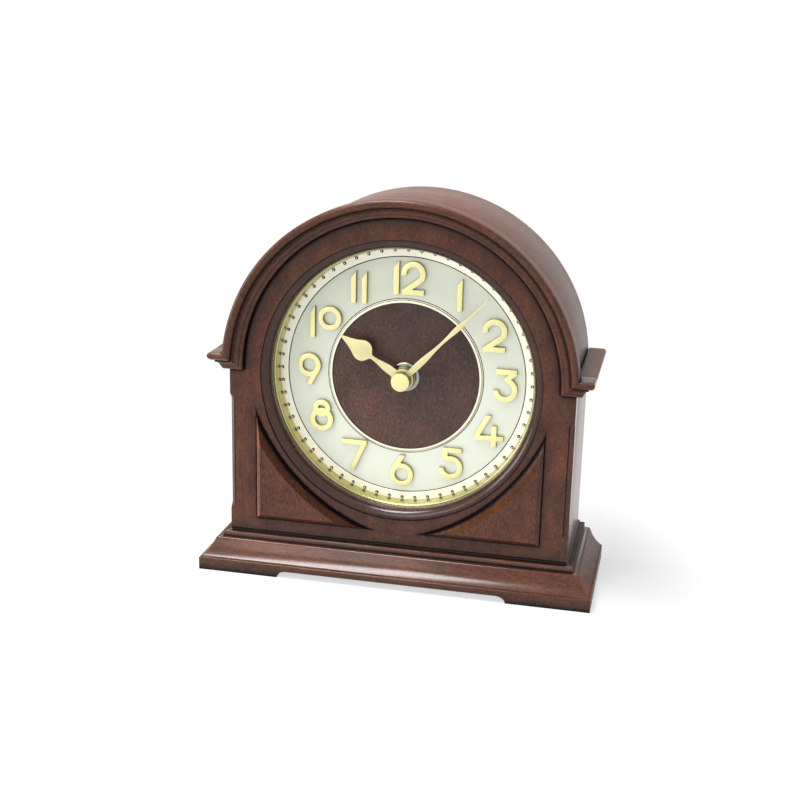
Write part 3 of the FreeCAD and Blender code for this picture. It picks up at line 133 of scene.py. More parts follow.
# Half outlines of the hands: distance from the axis, and half width
HOUR_OUTLINE = [
    (4.6, 2.14), (6.5, 2.14), (9.5, 2.08), (12.5, 1.66), (15.5, 1.14), (17.6, 0.92), (18.8, 0.95),
    (19.6, 1.45), (20.3, 2.5), (21.4, 4.1), (23.0, 5.08), (24.6, 5.35), (26.1, 5.1), (27.5, 4.4),
    (29.0, 3.5), (30.5, 2.8), (32.0, 2.15), (33.5, 1.62), (35.0, 1.15), (36.5, 0.72),
    (38.1, 0.12),
]
MINUTE_OUTLINE = [
    (3.9, 1.24), (7.0, 1.45), (10.0, 1.6), (13.0, 1.62), (16.0, 1.5), (19.0, 1.25), (22.0, 0.96),
    (25.0, 0.8), (28.0, 0.73), (31.0, 0.8), (34.0, 1.0), (37.0, 1.24), (39.5, 1.3), (42.0, 1.1),
    (45.5, 0.72), (49.0, 0.5), (54.0, 0.36), (60.2, 0.16),
]

# Where the numerals stand: right and up from the dial's centre, as shares of the numeral circle
NUMERAL_PLACES = {
    "12": (0.026, 0.998), "1": (0.526, 0.864), "2": (0.882, 0.488), "3": (1.008, -0.004),
    "4": (0.868, -0.484), "5": (0.494, -0.854), "6": (-0.006, -0.978), "7": (-0.504, -0.858),
    "8": (-0.848, -0.466), "9": (-0.982, 0.006), "10": (-0.814, 0.498), "11": (-0.48, 0.878),
}

# The screws of the back board, in the order in which they are copied
SCREW_PLACES = [
    (-73.4, 44.5), (-73.4, 80.5), (0.0, 179.1), (73.4, 80.5), (73.4, 44.5), (36.7, 23.5),
    (-36.7, 23.5),
]

# The wood's finishes, by what each is for: the grain's axis, and what differs from plain wood.
# Their light factors and tints are painted light and shade: lighter and darker copies of the one
# wood for faces that catch more or less light
WOODS = {
    "x": dict(grain="x"),
    "z": dict(grain="z"),
    "arc": dict(grain="arc"),
    "front": dict(grain="z", lines=True),
    # A lit copy for the right corner panel's arc bevel, then a shaded copy for the left one's:
    # painted light and shade
    "bevel": dict(grain="z", light=1.3, glaze=0.9, gloss=0.0, coat=0.6, tint=(1.0, 1.06, 0.62),
                  lines=True),
    "shade": dict(grain="z", light=0.70, glaze=0.9, gloss=0.0, coat=0.4, tint=(1.05, 1.06, 0.70),
                  lines=True),
    # Painted highlight on the left corner panel's outer straight bevel
    "worn": dict(grain="z", light=2.6, glaze=0.35, tint=(1.0, 1.1, 1.15)),
    # Painted shade on the opening's rounded edge
    "hollow": dict(grain="z", light=0.50, roughness=0.26, gloss=0.15, coat=1.0),
    # Lighter copies for the arched top, the sides, the base and the ends: painted light
    "shell": dict(grain="arc", light=1.25, roughness=0.44, gloss=0.26, coat=0.2,
                  tint=(1.1, 1.0, 0.85)),
    "side": dict(grain="z", light=1.5, gloss=0.38, coat=0.55, tint=(1.1, 0.95, 0.80)),
    "plinth": dict(grain="x", light=1.12, glaze=0.75, roughness=0.30, coat=1.0,
                   tint=(1.0, 0.97, 0.85)),
    "steps": dict(grain="x", light=1.5, glaze=0.55, roughness=0.30, gloss=0.3, coat=1.0),
    "ends": dict(grain="y", light=1.35, glaze=0.6, roughness=0.40, gloss=0.05, coat=0.25),
}

# Dark glazing and painted shade in the hollows, by ambient occlusion: reach in millimetres, how
# open a place is where the darkening is deepest and where it ends, and its depth. The widest
# darkens whole panels near the mouldings, as painted shade
GLAZE_AND_SHADE_HOLLOWS = [(4.5, 0.58, 0.90, 0.97), (1.9, 0.66, 0.96, 0.98), (13.0, 0.55, 0.99, 0.72)]

# Metal finishes: colour, roughness, metallic, and depth of the grain in millimetres
METALS = {
    "bright_chrome": ((0.36, 0.37, 0.32), 0.14, 1.0, 0.001),
    "turned_brass": ((0.72, 0.56, 0.24), 0.28, 1.0, 0.004),
    "dull_brass": ((0.26, 0.235, 0.13), 0.24, 1.0, 0.004),
}

# Plain finishes: colour, roughness, metallic, and depth of the texture in millimetres
PLAIN_FINISHES = {
    "bare_board": ((0.30, 0.17, 0.085), 0.7, 0.0, 0.03),
    "zinc_plating": ((0.58, 0.57, 0.54), 0.3, 1.0, 0.01),
    "blackened_steel": ((0.055, 0.055, 0.058), 0.32, 0.9, 0.01),
    "painted_plate": ((0.66, 0.66, 0.64), 0.38, 0.0, 0.01),
    "soft_rubber": ((0.02, 0.02, 0.02), 0.7, 0.0, 0.01),
    "moulded_black": ((0.022, 0.022, 0.024), 0.45, 0.0, 0.02),
    "moulded_white": ((0.74, 0.73, 0.68), 0.35, 0.0, 0.01),
    "circuit_green": ((0.015, 0.11, 0.04), 0.4, 0.0, 0.01),
    "copper_winding": ((0.42, 0.14, 0.045), 0.3, 0.6, 0.01),
    "cell_sleeve": ((0.05, 0.055, 0.065), 0.25, 0.2, 0.01),
}

# Colours of small marks, and the painted shade on the sides of what stands out and of the minute
# dots
RELIEF_SHADE = (0.13, 0.105, 0.025)
HAND_SHADE = (0.30, 0.25, 0.09)
DARK_RING_LINE = (0.03, 0.032, 0.018)
DOT_SIDE_SHADE = (0.018, 0.014, 0.01)
DARK_PLATE_FACE = (0.01, 0.01, 0.008)
SLEEVE_BAND = (0.62, 0.42, 0.16)
CELL_CAN = (0.7, 0.7, 0.68)

# The finish that each solid of the inside takes
INNER_FINISHES = {
    "bare_board": ["case_floor", "back_cleats"],
    "zinc_plating": ["base_screws", "bezel_screws", "stator", "contact_plus", "contact_minus"],
    "painted_plate": ["dial_plate"],
    "soft_rubber": ["rubber_washer"],
    "moulded_black": ["movement_housing", "movement_cover", "setting_knob"],
    "cell_sleeve": ["battery"],
    "circuit_green": ["circuit_board"],
    "copper_winding": ["coil"],
    "moulded_white": ["rotor", "fifth_wheel", "seconds_wheel", "third_wheel", "centre_wheel",
                      "intermediate_wheel", "hour_wheel"],
    "turned_brass": ["minute_arbor"],
}


def length_property(label, about, millimetres):
    return FloatProperty(name=label, description=about, default=millimetres * MM, unit="LENGTH",
                         precision=5)


def angle_property(label, about, degrees):
    return FloatProperty(name=label, description=about, default=math.radians(degrees),
                         subtype="ANGLE")


def power_property(label, about, watts):
    return FloatProperty(name=label, description=about, default=watts, subtype="POWER",
                         unit="POWER")


def colour_property(label, about, colour):
    return FloatVectorProperty(name=label, description=about, default=colour, subtype="COLOR",
                               min=0.0, max=1.0)


class ClockCase(bpy.types.PropertyGroup):
    opening_radius: length_property("Opening", "Radius of the dial opening", 65.7)
    opening_edge: length_property("Rounded edge", "Width of the opening's rounded edge", 4.8)
    opening_quirk: length_property("Quirk", "Step outside the opening's rounded edge", 0.5)
    chamfer: length_property("Corner chamfer", "Width of the stopped chamfers at the corners", 2.2)
    edge_softening: length_property("Softened edges", "Rounding of the sharp wooden edges", 0.3)
    spandrel_height: length_property("Corner panels", "How far the corner panels stand out", 2.2)
    back_hole: length_property("Back opening", "Radius of the opening in the back", 46.0)


class ClockDial(bpy.types.PropertyGroup):
    bezel_radius: length_property("Bezel", "Inner radius of the bezel", 64.8)
    dot_circle: length_property("Minute dots", "Radius of the circle of minute dots", 63.5)
    dot_radius: length_property("Dot size", "Radius of a minute dot", 0.85)
    numeral_circle: length_property("Numeral circle", "Radius of the circle of numerals", 50.0)
    numeral_height: length_property("Numeral height", "Height of a numeral", 16.4)
    numeral_stroke: length_property("Numeral stroke", "Width of a numeral's stroke", 2.6)
    numeral_relief: length_property("Numeral relief", "How far the numerals stand out", 1.9)


class ClockHands(bpy.types.PropertyGroup):
    hour_angle: angle_property("Hour hand", "Its direction, clockwise from twelve", 302.0)
    minute_angle: angle_property("Minute hand", "Its direction, clockwise from twelve", 43.8)
    thickness: length_property("Thickness", "Thickness of a hand", 0.5)
    cap_radius: length_property("Cap", "Radius of the cap on the hands", 4.7)


class ClockColours(bpy.types.PropertyGroup):
    wood_dark: colour_property("Dark wood", "Dark figure of the stained wood",
                               (0.028, 0.0088, 0.0046))
    wood_mid: colour_property("Wood", "Main colour of the stained wood", (0.070, 0.0224, 0.0103))
    wood_red: colour_property("Red wood", "Red flecks of the stained wood", (0.142, 0.0445, 0.0182))
    glaze: colour_property("Glaze", "Dark glaze that lies in the grooves", (0.0030, 0.0018, 0.0015))
    gold: colour_property("Gold", "Gilt of the bezel", (0.50, 0.46, 0.20))
    pale_gold: colour_property("Pale gold", "Gilt of the numerals and the cap", (0.88, 0.82, 0.385))
    hand_gold: colour_property("Hand gold", "Matt gilt of the hands", (0.77, 0.69, 0.365))
    silver: colour_property("Chapter ring", "Satin silver of the chapter ring", (0.78, 0.81, 0.69))
    cream: colour_property("Cream", "Cream of the minute ring", (0.98, 0.965, 0.83))
    brown: colour_property("Dial centre", "Brown of the dial's centre", (0.076, 0.036, 0.027))


class ClockStage(bpy.types.PropertyGroup):
    camera_azimuth: angle_property("Azimuth", "Camera's direction round the clock", 12.19)
    camera_elevation: angle_property("Elevation", "Camera's height over the horizon", 16.10)
    camera_roll: angle_property("Roll", "Camera's roll", 1.44)
    camera_distance: length_property("Distance", "Camera's distance from its target", 652.44)
    lens: FloatProperty(name="Lens", description="Focal length in millimetres", default=60.2)
    key_power: power_property("Key light", "Power of the softbox at the upper left", 5.0)
    top_power: power_property("Top light", "Power of the softbox overhead", 18.0)
    fill_power: power_property("Fill light", "Power of the softbox at the left", 6.5)


def place(x, depth, z):
    """A place in metres, from millimetres to the right, behind the case's face, and up."""
    return Vector((x * MM, (FACE_Y + depth) * MM, z * MM))


def depths(node):
    """How far a solid's front and back lie behind the case's face, in millimetres."""
    low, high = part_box(node)
    return low.y / MM - FACE_Y, high.y / MM - FACE_Y


def quarter(steps):
    """Sine and cosine at the steps of a quarter turn, without its start."""
    for index in range(1, steps + 1):
        angle = math.pi / 2 * index / steps
        yield math.sin(angle), math.cos(angle)


def to_object_mode():
    if bpy.context.mode != "OBJECT":
        bpy.ops.object.mode_set(mode="OBJECT")


def deselect():
    to_object_mode()
    bpy.ops.object.select_all(action="DESELECT")


def select_only(*pieces):
    deselect()
    for piece in pieces:
        piece.select_set(True)
    bpy.context.view_layer.objects.active = pieces[0]


def edit(piece):
    select_only(piece)
    bpy.ops.object.mode_set(mode="EDIT")
    bpy.ops.mesh.select_all(action="SELECT")


def named(name):
    """Names the piece that was just added."""
    piece = bpy.context.active_object
    piece.name = name
    piece.data.name = name
    return piece


def draw(name, points, filled=True):
    """Draws a closed outline point by point, as by hand, and leaves it selected in edit mode."""
    deselect()
    bpy.ops.mesh.primitive_plane_add(size=MM, location=points[0])
    piece = named(name)
    bpy.ops.object.mode_set(mode="EDIT")
    bpy.ops.mesh.select_all(action="SELECT")
    bpy.ops.mesh.merge(type="CENTER")
    for here, there in zip(points, points[1:]):
        bpy.ops.mesh.extrude_vertices_move(TRANSFORM_OT_translate={"value": there - here})
    bpy.ops.mesh.select_all(action="SELECT")
    bpy.ops.mesh.edge_face_add()
    if not filled:
        bpy.ops.mesh.delete(type="ONLY_FACE")
    bpy.ops.mesh.select_all(action="SELECT")
    return piece


def pull(vector):
    bpy.ops.mesh.extrude_region_move(TRANSFORM_OT_translate={"value": vector})


def spin(angle, steps, centre):
    """Sweeps the selection about an axis that runs backwards, anticlockwise from the front."""
    bpy.ops.mesh.spin(steps=steps, angle=angle, center=centre, axis=BACK)


def tidy_shell(merge=FINE):
    """Merges doubles, turns the faces outwards, and puts the piece's place into its mesh."""
    bpy.ops.mesh.select_all(action="SELECT")
    bpy.ops.mesh.remove_doubles(threshold=merge)
    bpy.ops.mesh.normals_make_consistent(inside=False)
    bpy.ops.object.mode_set(mode="OBJECT")
    bpy.ops.object.transform_apply(location=True, rotation=True, scale=True)


def turned(name, section, x=0.0, z=DIAL_Z, steps=ROUND_STEPS):
    """A closed section of (radius, depth) points turned about an axis that runs backwards."""
    closed_at_axis = min(radius for radius, depth in section) <= 0
    piece = draw(name, [place(x + radius, depth, z) for radius, depth in section], filled=False)
    if closed_at_axis:
        drop_axis_edges(piece, x)
    bpy.ops.mesh.select_all(action="SELECT")
    spin(TURN, steps, place(x, 0, z))
    tidy_shell()
    return piece


def drop_axis_edges(piece, x):
    """Removes the edges that lie on the turning axis, so that no inner wall is left."""
    mesh = bmesh.from_edit_mesh(piece.data)
    matrix = piece.matrix_world
    for edge in mesh.edges:
        on_axis = all(abs((matrix @ v.co).x - x * MM) < FINE for v in edge.verts)
        edge.select_set(on_axis)
    bmesh.update_edit_mesh(piece.data)
    bpy.ops.mesh.delete(type="EDGE")


def cut_away(plane_at, normal, filled=True):
    """Cuts the selected mesh by a plane and clears what lies on the normal's side."""
    bpy.ops.mesh.select_all(action="SELECT")
    bpy.ops.mesh.bisect(plane_co=plane_at, plane_no=normal, use_fill=filled, clear_outer=True)
    bpy.ops.mesh.select_all(action="SELECT")


def combine(piece, tool, operation):
    """Applies a boolean with another piece, which is used up."""
    select_only(piece)
    modifier = piece.modifiers.new(operation.lower(), "BOOLEAN")
    modifier.object = tool
    modifier.operation = operation
    modifier.solver = "EXACT"
    bpy.ops.object.modifier_apply(modifier=modifier.name)
    bpy.data.objects.remove(tool)


def soften(piece, width, segments=3, angle=50.0):
    """Rounds the sharp edges."""
    select_only(piece)
    modifier = piece.modifiers.new("softened", "BEVEL")
    modifier.width = width
    modifier.segments = segments
    modifier.limit_method = "ANGLE"
    modifier.angle_limit = math.radians(angle)
    modifier.use_clamp_overlap = True
    bpy.ops.object.modifier_apply(modifier=modifier.name)


def mirrored_copy(piece, name):
    """A copy on the other side of the clock, with its own mesh."""
    select_only(piece)
    bpy.ops.object.duplicate()
    copy = named(name)
    edit(copy)
    bpy.ops.transform.mirror(constraint_axis=(True, False, False), center_override=(0, 0, 0))
    bpy.ops.mesh.normals_make_consistent(inside=False)
    to_object_mode()
    return copy


def settle(piece, material, node, body=CASE_BODY, smooth=32.0):
    """Shades a finished piece, gives it its material, and lets it ride in place of its solid."""
    select_only(piece)
    bpy.ops.object.transform_apply(location=True, rotation=True, scale=True)
    bpy.ops.object.shade_smooth_by_angle(angle=math.radians(smooth))
    piece.data.materials.clear()
    piece.data.materials.append(bpy.data.materials[material])
    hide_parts(node)
    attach(piece, body)
    piece.select_set(False)


def settle_wood(piece, finish, node, smooth=32.0):
    settle(piece, "stained_wood_" + finish, node, smooth=smooth)


def paint(piece, material, chosen):
    """Gives a second finish to the faces whose corners all lie in the chosen place."""
    materials = piece.data.materials
    if material not in materials:
        materials.append(bpy.data.materials[material])
    corners = piece.data.vertices
    for face in piece.data.polygons:
        if all(chosen(corners[index].co / MM) for index in face.vertices):
            face.material_index = materials.find(material)


def curve_through(points, per_span=4):
    """A smooth line through points, as a list of places between them too."""
    line = []
    last = len(points) - 1

    def between(a, b, c, d, t):
        return 0.5 * (2 * b + (c - a) * t + (2 * a - 5 * b + 4 * c - d) * t * t
                      + (3 * b - a - 3 * c + d) * t ** 3)

    for index in range(last):
        ends = (points[max(index - 1, 0)], points[index], points[index + 1],
                points[min(index + 2, last)])
        for step in range(per_span):
            line.append(tuple(between(*values, step / per_span) for values in zip(*ends)))
    line.append(points[last])
    return line


class Finish:
    """A node material under construction."""

    def __init__(self, name, colour, roughness, metallic=0.0, **sockets):
        if name in bpy.data.materials:
            raise ValueError(name + " is already the name of another material")
        self.material = bpy.data.materials.new(name)
        self.material.use_nodes = True
        self.tree = self.material.node_tree
        self.shader = self.tree.nodes["Principled BSDF"]
        self.set("Base Color", (*colour, 1.0))
        self.set("Roughness", roughness)
        self.set("Metallic", metallic)
        for socket, value in sockets.items():
            self.set(socket.replace("_", " "), value)
        self.coordinates = self.node("ShaderNodeTexCoord").outputs["Object"]

    def set(self, socket, value):
        self.shader.inputs[socket].default_value = value

    def node(self, kind, **settings):
        made = self.tree.nodes.new(kind)
        for name, value in settings.items():
            setattr(made, name, value)
        return made

    def link(self, out, into):
        self.tree.links.new(out, into)

    def drive(self, socket, out):
        self.link(out, self.shader.inputs[socket])

    def base(self):
        """What feeds the base colour so far."""
        return self.shader.inputs["Base Color"].links[0].from_socket

    def overlay(self, factor, colour):
        """Lays a colour over the base colour."""
        self.drive("Base Color", self.mix(factor, self.base(), colour))

    def axes(self, vector=None):
        """The parts of a vector, or of the object coordinates, along X, Y and Z."""
        parts = self.node("ShaderNodeSeparateXYZ")
        self.link(vector or self.coordinates, parts.inputs[0])
        return tuple(parts.outputs)

    def stretched(self, scale, source=None):
        """Coordinates scaled along each axis, or by one number along all."""
        mapping = self.node("ShaderNodeMapping")
        mapping.inputs["Scale"].default_value = scale if isinstance(scale, tuple) else (scale,) * 3
        self.link(source or self.coordinates, mapping.inputs["Vector"])
        return mapping.outputs["Vector"]

    def noise(self, vector, scale=1.0, detail=4.0, roughness=0.55, distortion=0.0):
        made = self.node("ShaderNodeTexNoise")
        made.inputs["Scale"].default_value = scale
        made.inputs["Detail"].default_value = detail
        made.inputs["Roughness"].default_value = roughness
        made.inputs["Distortion"].default_value = distortion
        self.link(vector, made.inputs["Vector"])
        return made.outputs["Fac"]

    def ramp(self, factor, stops):
        made = self.node("ShaderNodeValToRGB")
        ramp = made.color_ramp
        while len(ramp.elements) < len(stops):
            ramp.elements.new(0.5)
        for element, (position, colour) in zip(ramp.elements, stops):
            element.position = position
            element.color = colour if len(colour) == 4 else (*colour, 1.0)
        self.link(factor, made.inputs["Fac"])
        return made.outputs["Color"]

    def fill(self, sockets, values):
        """Links or sets each socket, as its value asks."""
        for socket, value in zip(sockets, values):
            if isinstance(value, bpy.types.NodeSocket):
                self.link(value, socket)
            elif isinstance(value, (int, float)):
                socket.default_value = value
            else:
                socket.default_value = (*value, 1.0)

    def mix(self, factor, first, second, blend="MIX"):
        made = self.node("ShaderNodeMix", data_type="RGBA", blend_type=blend)
        self.fill((made.inputs["Factor"], made.inputs[6], made.inputs[7]), (factor, first, second))
        return made.outputs[2]

    def math(self, operation, first, second=0.0):
        made = self.node("ShaderNodeMath", operation=operation)
        self.fill(made.inputs[:2], (first, second))
        return made.outputs[0]

    def hypot(self, first, second):
        squares = self.math("ADD", self.math("MULTIPLY", first, first),
                            self.math("MULTIPLY", second, second))
        return self.math("SQRT", squares)

    def inside(self, value, low, high):
        """1 where a value lies between two numbers, 0 elsewhere."""
        return self.math("MULTIPLY", self.math("GREATER_THAN", value, low),
                         self.math("LESS_THAN", value, high))

    def ranged(self, value, low, high, to_low=0.0, to_high=1.0):
        made = self.node("ShaderNodeMapRange")
        names = ("Value", "From Min", "From Max", "To Min", "To Max")
        self.fill([made.inputs[name] for name in names], (value, low, high, to_low, to_high))
        return made.outputs["Result"]

    def clouded(self, colour, wear, scale, detail, low=0.3, high=0.7):
        """Base colour with faint clouds, darker than the colour by the share of wear."""
        clouds = self.noise(self.stretched(scale), detail=detail)
        shade = tuple(c * (1 - wear) for c in colour)
        self.drive("Base Color", self.ramp(clouds, [(low, shade), (high, tuple(colour))]))

    def uneven(self, texture, low, high):
        """Roughness that follows a texture."""
        self.drive("Roughness", self.ranged(texture, 0.3, 0.7, low, high))

    def bump(self, height, distance, strength=1.0):
        made = self.node("ShaderNodeBump")
        made.inputs["Distance"].default_value = distance
        made.inputs["Strength"].default_value = strength
        self.link(height, made.inputs["Height"])
        self.link(made.outputs["Normal"], self.shader.inputs["Normal"])


def polar(finish, centre_z):
    """Coordinates unrolled round the clock's middle: along the arc, outwards, and backwards."""
    x, y, z = finish.axes()
    up = finish.math("SUBTRACT", z, centre_z * MM)
    arc = finish.math("MULTIPLY", finish.math("ARCTAN2", up, x), CASE_HALF * MM)
    joined = finish.node("ShaderNodeCombineXYZ")
    for out, socket in zip((arc, finish.hypot(up, x), y), joined.inputs):
        finish.link(out, socket)
    return joined.outputs["Vector"]


def glazing_and_shade_lines(finish):
    """Millimetres to the front board's nearest groove or edge, where dark glazing and painted shade
    lie: the line round the corner panels stands in for the shade under their raised edges.
    """
    x, y, z = finish.axes(finish.stretched(1 / MM))
    x = finish.math("ABSOLUTE", x)

    def minus(first, second):
        return finish.math("SUBTRACT", first, second)

    def reach(centre_x, centre_z):
        return finish.hypot(minus(x, centre_x), minus(z, centre_z))

    to_arc = minus(CORNER_ARC_R, reach(CORNER_ARC_X, CORNER_ARC_Z))
    corner = finish.math("MULTIPLY", to_arc, 0.7)
    for edge in (minus(x, CORNER_OUTER), minus(CORNER_FOOT, z)):
        corner = finish.math("MAXIMUM", corner, edge)

    # The line round the opening is faint, and fades out upwards
    rise = finish.math("MAXIMUM", minus(z, DIAL_Z - 15.0), -5.0)
    fade = finish.math("ADD", finish.math("MULTIPLY", rise, 0.15), 1.40)
    to_rim = finish.math("ABSOLUTE", minus(reach(0.0, DIAL_Z), OPENING_RIM))

    # The moulding's line ends at the ears
    below = finish.math("MULTIPLY", finish.math("MAXIMUM", minus(CORNICE_FOOT, z), 0.0), 10.0)
    to_moulding = finish.math("ABSOLUTE", minus(CORNICE_R, reach(0.0, ARCH_Z)))

    nearest = finish.math("ABSOLUTE", corner)
    for distance in (finish.math("ADD", to_rim, fade), finish.math("ADD", to_moulding, below),
                     minus(z, CASE_FOOT)):
        nearest = finish.math("MINIMUM", nearest, distance)
    return nearest


def stained_wood(name, colours, grain, light=1.0, glaze=1.0, roughness=0.36, gloss=0.1, coat=0.8,
                 tint=(1.0, 1.0, 1.0), lines=False):
    """Stained wood with dark glazing and painted shade in its hollows and along its grooves; grain
    is the axis it runs along, or arc.
    """
    finish = Finish(name, colours.wood_mid, roughness, Coat_Weight=coat, Coat_Roughness=0.17,
                    Coat_IOR=1.35, Specular_IOR_Level=gloss)
    source = polar(finish, ARCH_Z) if grain == "arc" else finish.coordinates
    axis = {"arc": 0, "x": 0, "y": 1, "z": 2}[grain]

    def along(fine, long):
        scale = [fine, fine, fine]
        scale[axis] = long
        return finish.stretched(tuple(scale), source)

    clouds = finish.noise(along(105.0, 62.0), detail=5.0, roughness=0.60, distortion=0.3)
    fibres = finish.noise(along(1700.0, 190.0), detail=3.0, roughness=0.6)
    flecks = finish.noise(along(700.0, 330.0), detail=4.0, roughness=0.7)
    pores = finish.noise(along(3400.0, 620.0), detail=2.0, roughness=0.5)
    # light and tint make lighter and darker copies of the wood: painted light and shade
    dark, middle, red = (tuple(c * light * t for c, t in zip(colour, tint))
                         for colour in (colours.wood_dark, colours.wood_mid, colours.wood_red))
    finish.drive("Base Color", finish.ramp(clouds, [(0.26, dark), (0.50, middle), (0.80, red)]))
    finish.overlay(finish.ranged(fibres, 0.35, 0.70, 0.0, 0.40), tuple(c * 1.5 for c in middle))
    finish.overlay(finish.ranged(flecks, 0.48, 0.66, 0.0, 0.55), red)
    finish.overlay(finish.ranged(pores, 0.53, 0.63, 0.0, 0.75), tuple(c * 0.45 for c in dark))
    covers = []
    # Each ambient occlusion darkens the hollows: dark glazing together with painted shade
    for reach, low, high, strength in GLAZE_AND_SHADE_HOLLOWS:
        hollow = finish.node("ShaderNodeAmbientOcclusion", samples=8)
        hollow.inputs["Distance"].default_value = reach * MM
        covers.append(finish.ranged(hollow.outputs["AO"], low, high, strength * glaze, 0.0))
    if lines:
        distance = glazing_and_shade_lines(finish)
        # A soft halo of painted shade beside the lines, then the dark lines themselves, ragged by
        # the flecks
        covers.append(finish.ranged(distance, 0.0, 6.0, 0.42, 0.0))
        ragged = finish.math("MULTIPLY", finish.math("SUBTRACT", flecks, 0.5), 0.8)
        covers.append(finish.ranged(finish.math("ADD", distance, ragged), 0.45, 1.10, 0.97, 0.0))
    deepest = covers[0]
    for cover in covers:
        finish.overlay(cover, tuple(colours.glaze))
        deepest = finish.math("MAXIMUM", deepest, cover)
    finish.drive("Coat Weight", finish.ranged(deepest, 0.35, 0.95, coat, 0.2 * coat))
    finish.drive("Specular IOR Level", finish.ranged(deepest, 0.35, 0.95, gloss, 0.0))
    finish.uneven(fibres, roughness - 0.05, roughness + 0.09)
    height = finish.math("SUBTRACT", finish.math("MULTIPLY", fibres, 0.5),
                         finish.ranged(pores, 0.55, 0.68))
    finish.bump(height, 0.03 * MM, 0.5)


def gilt(name, colour, roughness, metallic, depth, wear=0.12):
    """Gilt or plated metal with slight clouding and a fine surface grain."""
    finish = Finish(name, colour, roughness, metallic)
    finish.clouded(colour, wear, 160.0, 4.0, 0.35, 0.65)
    fine = finish.noise(finish.stretched(3600.0), detail=2.0)
    finish.uneven(fine, roughness * 0.82, roughness * 1.2)
    finish.bump(fine, depth * MM, 0.4)
    return finish


def shade_painted_sides(finish, shade, depth=0.85):
    """Paints shade on the sides and bevels of a relief that faces the front, darker the more a face
    turns away from the front.
    """
    y = finish.axes(finish.node("ShaderNodeTexCoord").outputs["Normal"])[1]
    finish.overlay(finish.ranged(finish.math("MULTIPLY", y, -1.0), 0.35, 0.93, depth, 0.0), shade)


def spun_metal(name, colour, roughness, metallic):
    """Satin metal with very fine turning marks round the dial's middle."""
    finish = Finish(name, colour, roughness, metallic)
    marks = finish.noise(finish.stretched((9.0, 5200.0, 20.0), polar(finish, DIAL_Z)), detail=2.0)
    finish.clouded(colour, 0.05, 70.0, 3.0)
    finish.uneven(marks, roughness - 0.04, roughness + 0.05)
    finish.bump(marks, 0.002 * MM, 0.5)
    return finish


def brown_centre(name, brown):
    """Brown wood print with clouding, red flecks and dark pores."""
    finish = Finish(name, brown, 0.40, Specular_IOR_Level=0.38)
    clouds = finish.noise(finish.stretched((75.0, 75.0, 45.0)), detail=4.0, roughness=0.6)
    red = finish.noise(finish.stretched((900.0, 900.0, 420.0)), detail=4.0, roughness=0.7)
    pores = finish.noise(finish.stretched((2600.0, 2600.0, 900.0)), detail=2.0)
    dark, plain, light = (tuple(c * k * t for c, t in zip(brown, tint)) for k, tint in (
        (0.62, (0.9, 1.0, 1.15)), (1.0, (1.0, 1.0, 1.0)), (1.5, (1.1, 0.95, 0.9))))
    finish.drive("Base Color", finish.ramp(clouds, [(0.30, dark), (0.50, plain), (0.72, light)]))
    finish.overlay(finish.ranged(red, 0.48, 0.66, 0.0, 0.65), tuple(c * 1.5 for c in light))
    finish.overlay(finish.ranged(pores, 0.50, 0.62, 0.0, 0.70), tuple(c * 0.45 for c in dark))
    finish.bump(pores, 0.006 * MM, 0.4)
    return finish


def ring_lines(finish, bands):
    """Paints dark lines round the dial: each is (from, to) as a radius in millimetres."""
    radius = finish.axes(polar(finish, DIAL_Z))[1]
    for low, high in bands:
        finish.overlay(finish.inside(radius, low * MM, high * MM), DARK_RING_LINE)


def painted_shade_upwards(finish, slant, low, high, shade):
    """Paints shade that deepens upwards between two heights in millimetres; slant leans it left."""
    x, y, z = finish.axes()
    along = finish.math("SUBTRACT", z, finish.math("MULTIPLY", x, slant))
    tone = finish.ranged(along, low * MM, high * MM)
    finish.overlay(tone, finish.mix(1.0, finish.base(), shade, "MULTIPLY"))


def plain_finish(name, colour, roughness, metallic, depth):
    """Moulded or painted surface with a fine texture."""
    finish = Finish(name, colour, roughness, metallic)
    fine = finish.noise(finish.stretched(1400.0), detail=3.0)
    finish.clouded(colour, 0.12, 90.0, 3.0)
    finish.uneven(fine, roughness * 0.88, roughness * 1.12)
    finish.bump(fine, depth * MM, 0.4)
    return finish


def banded(finish, axis, bands):
    """Paints bands along an axis, 0 to 2: each is (from, to, colour) in metres."""
    where = finish.axes()[axis]
    for low, high, colour in bands:
        finish.overlay(finish.inside(where, low, high), colour)


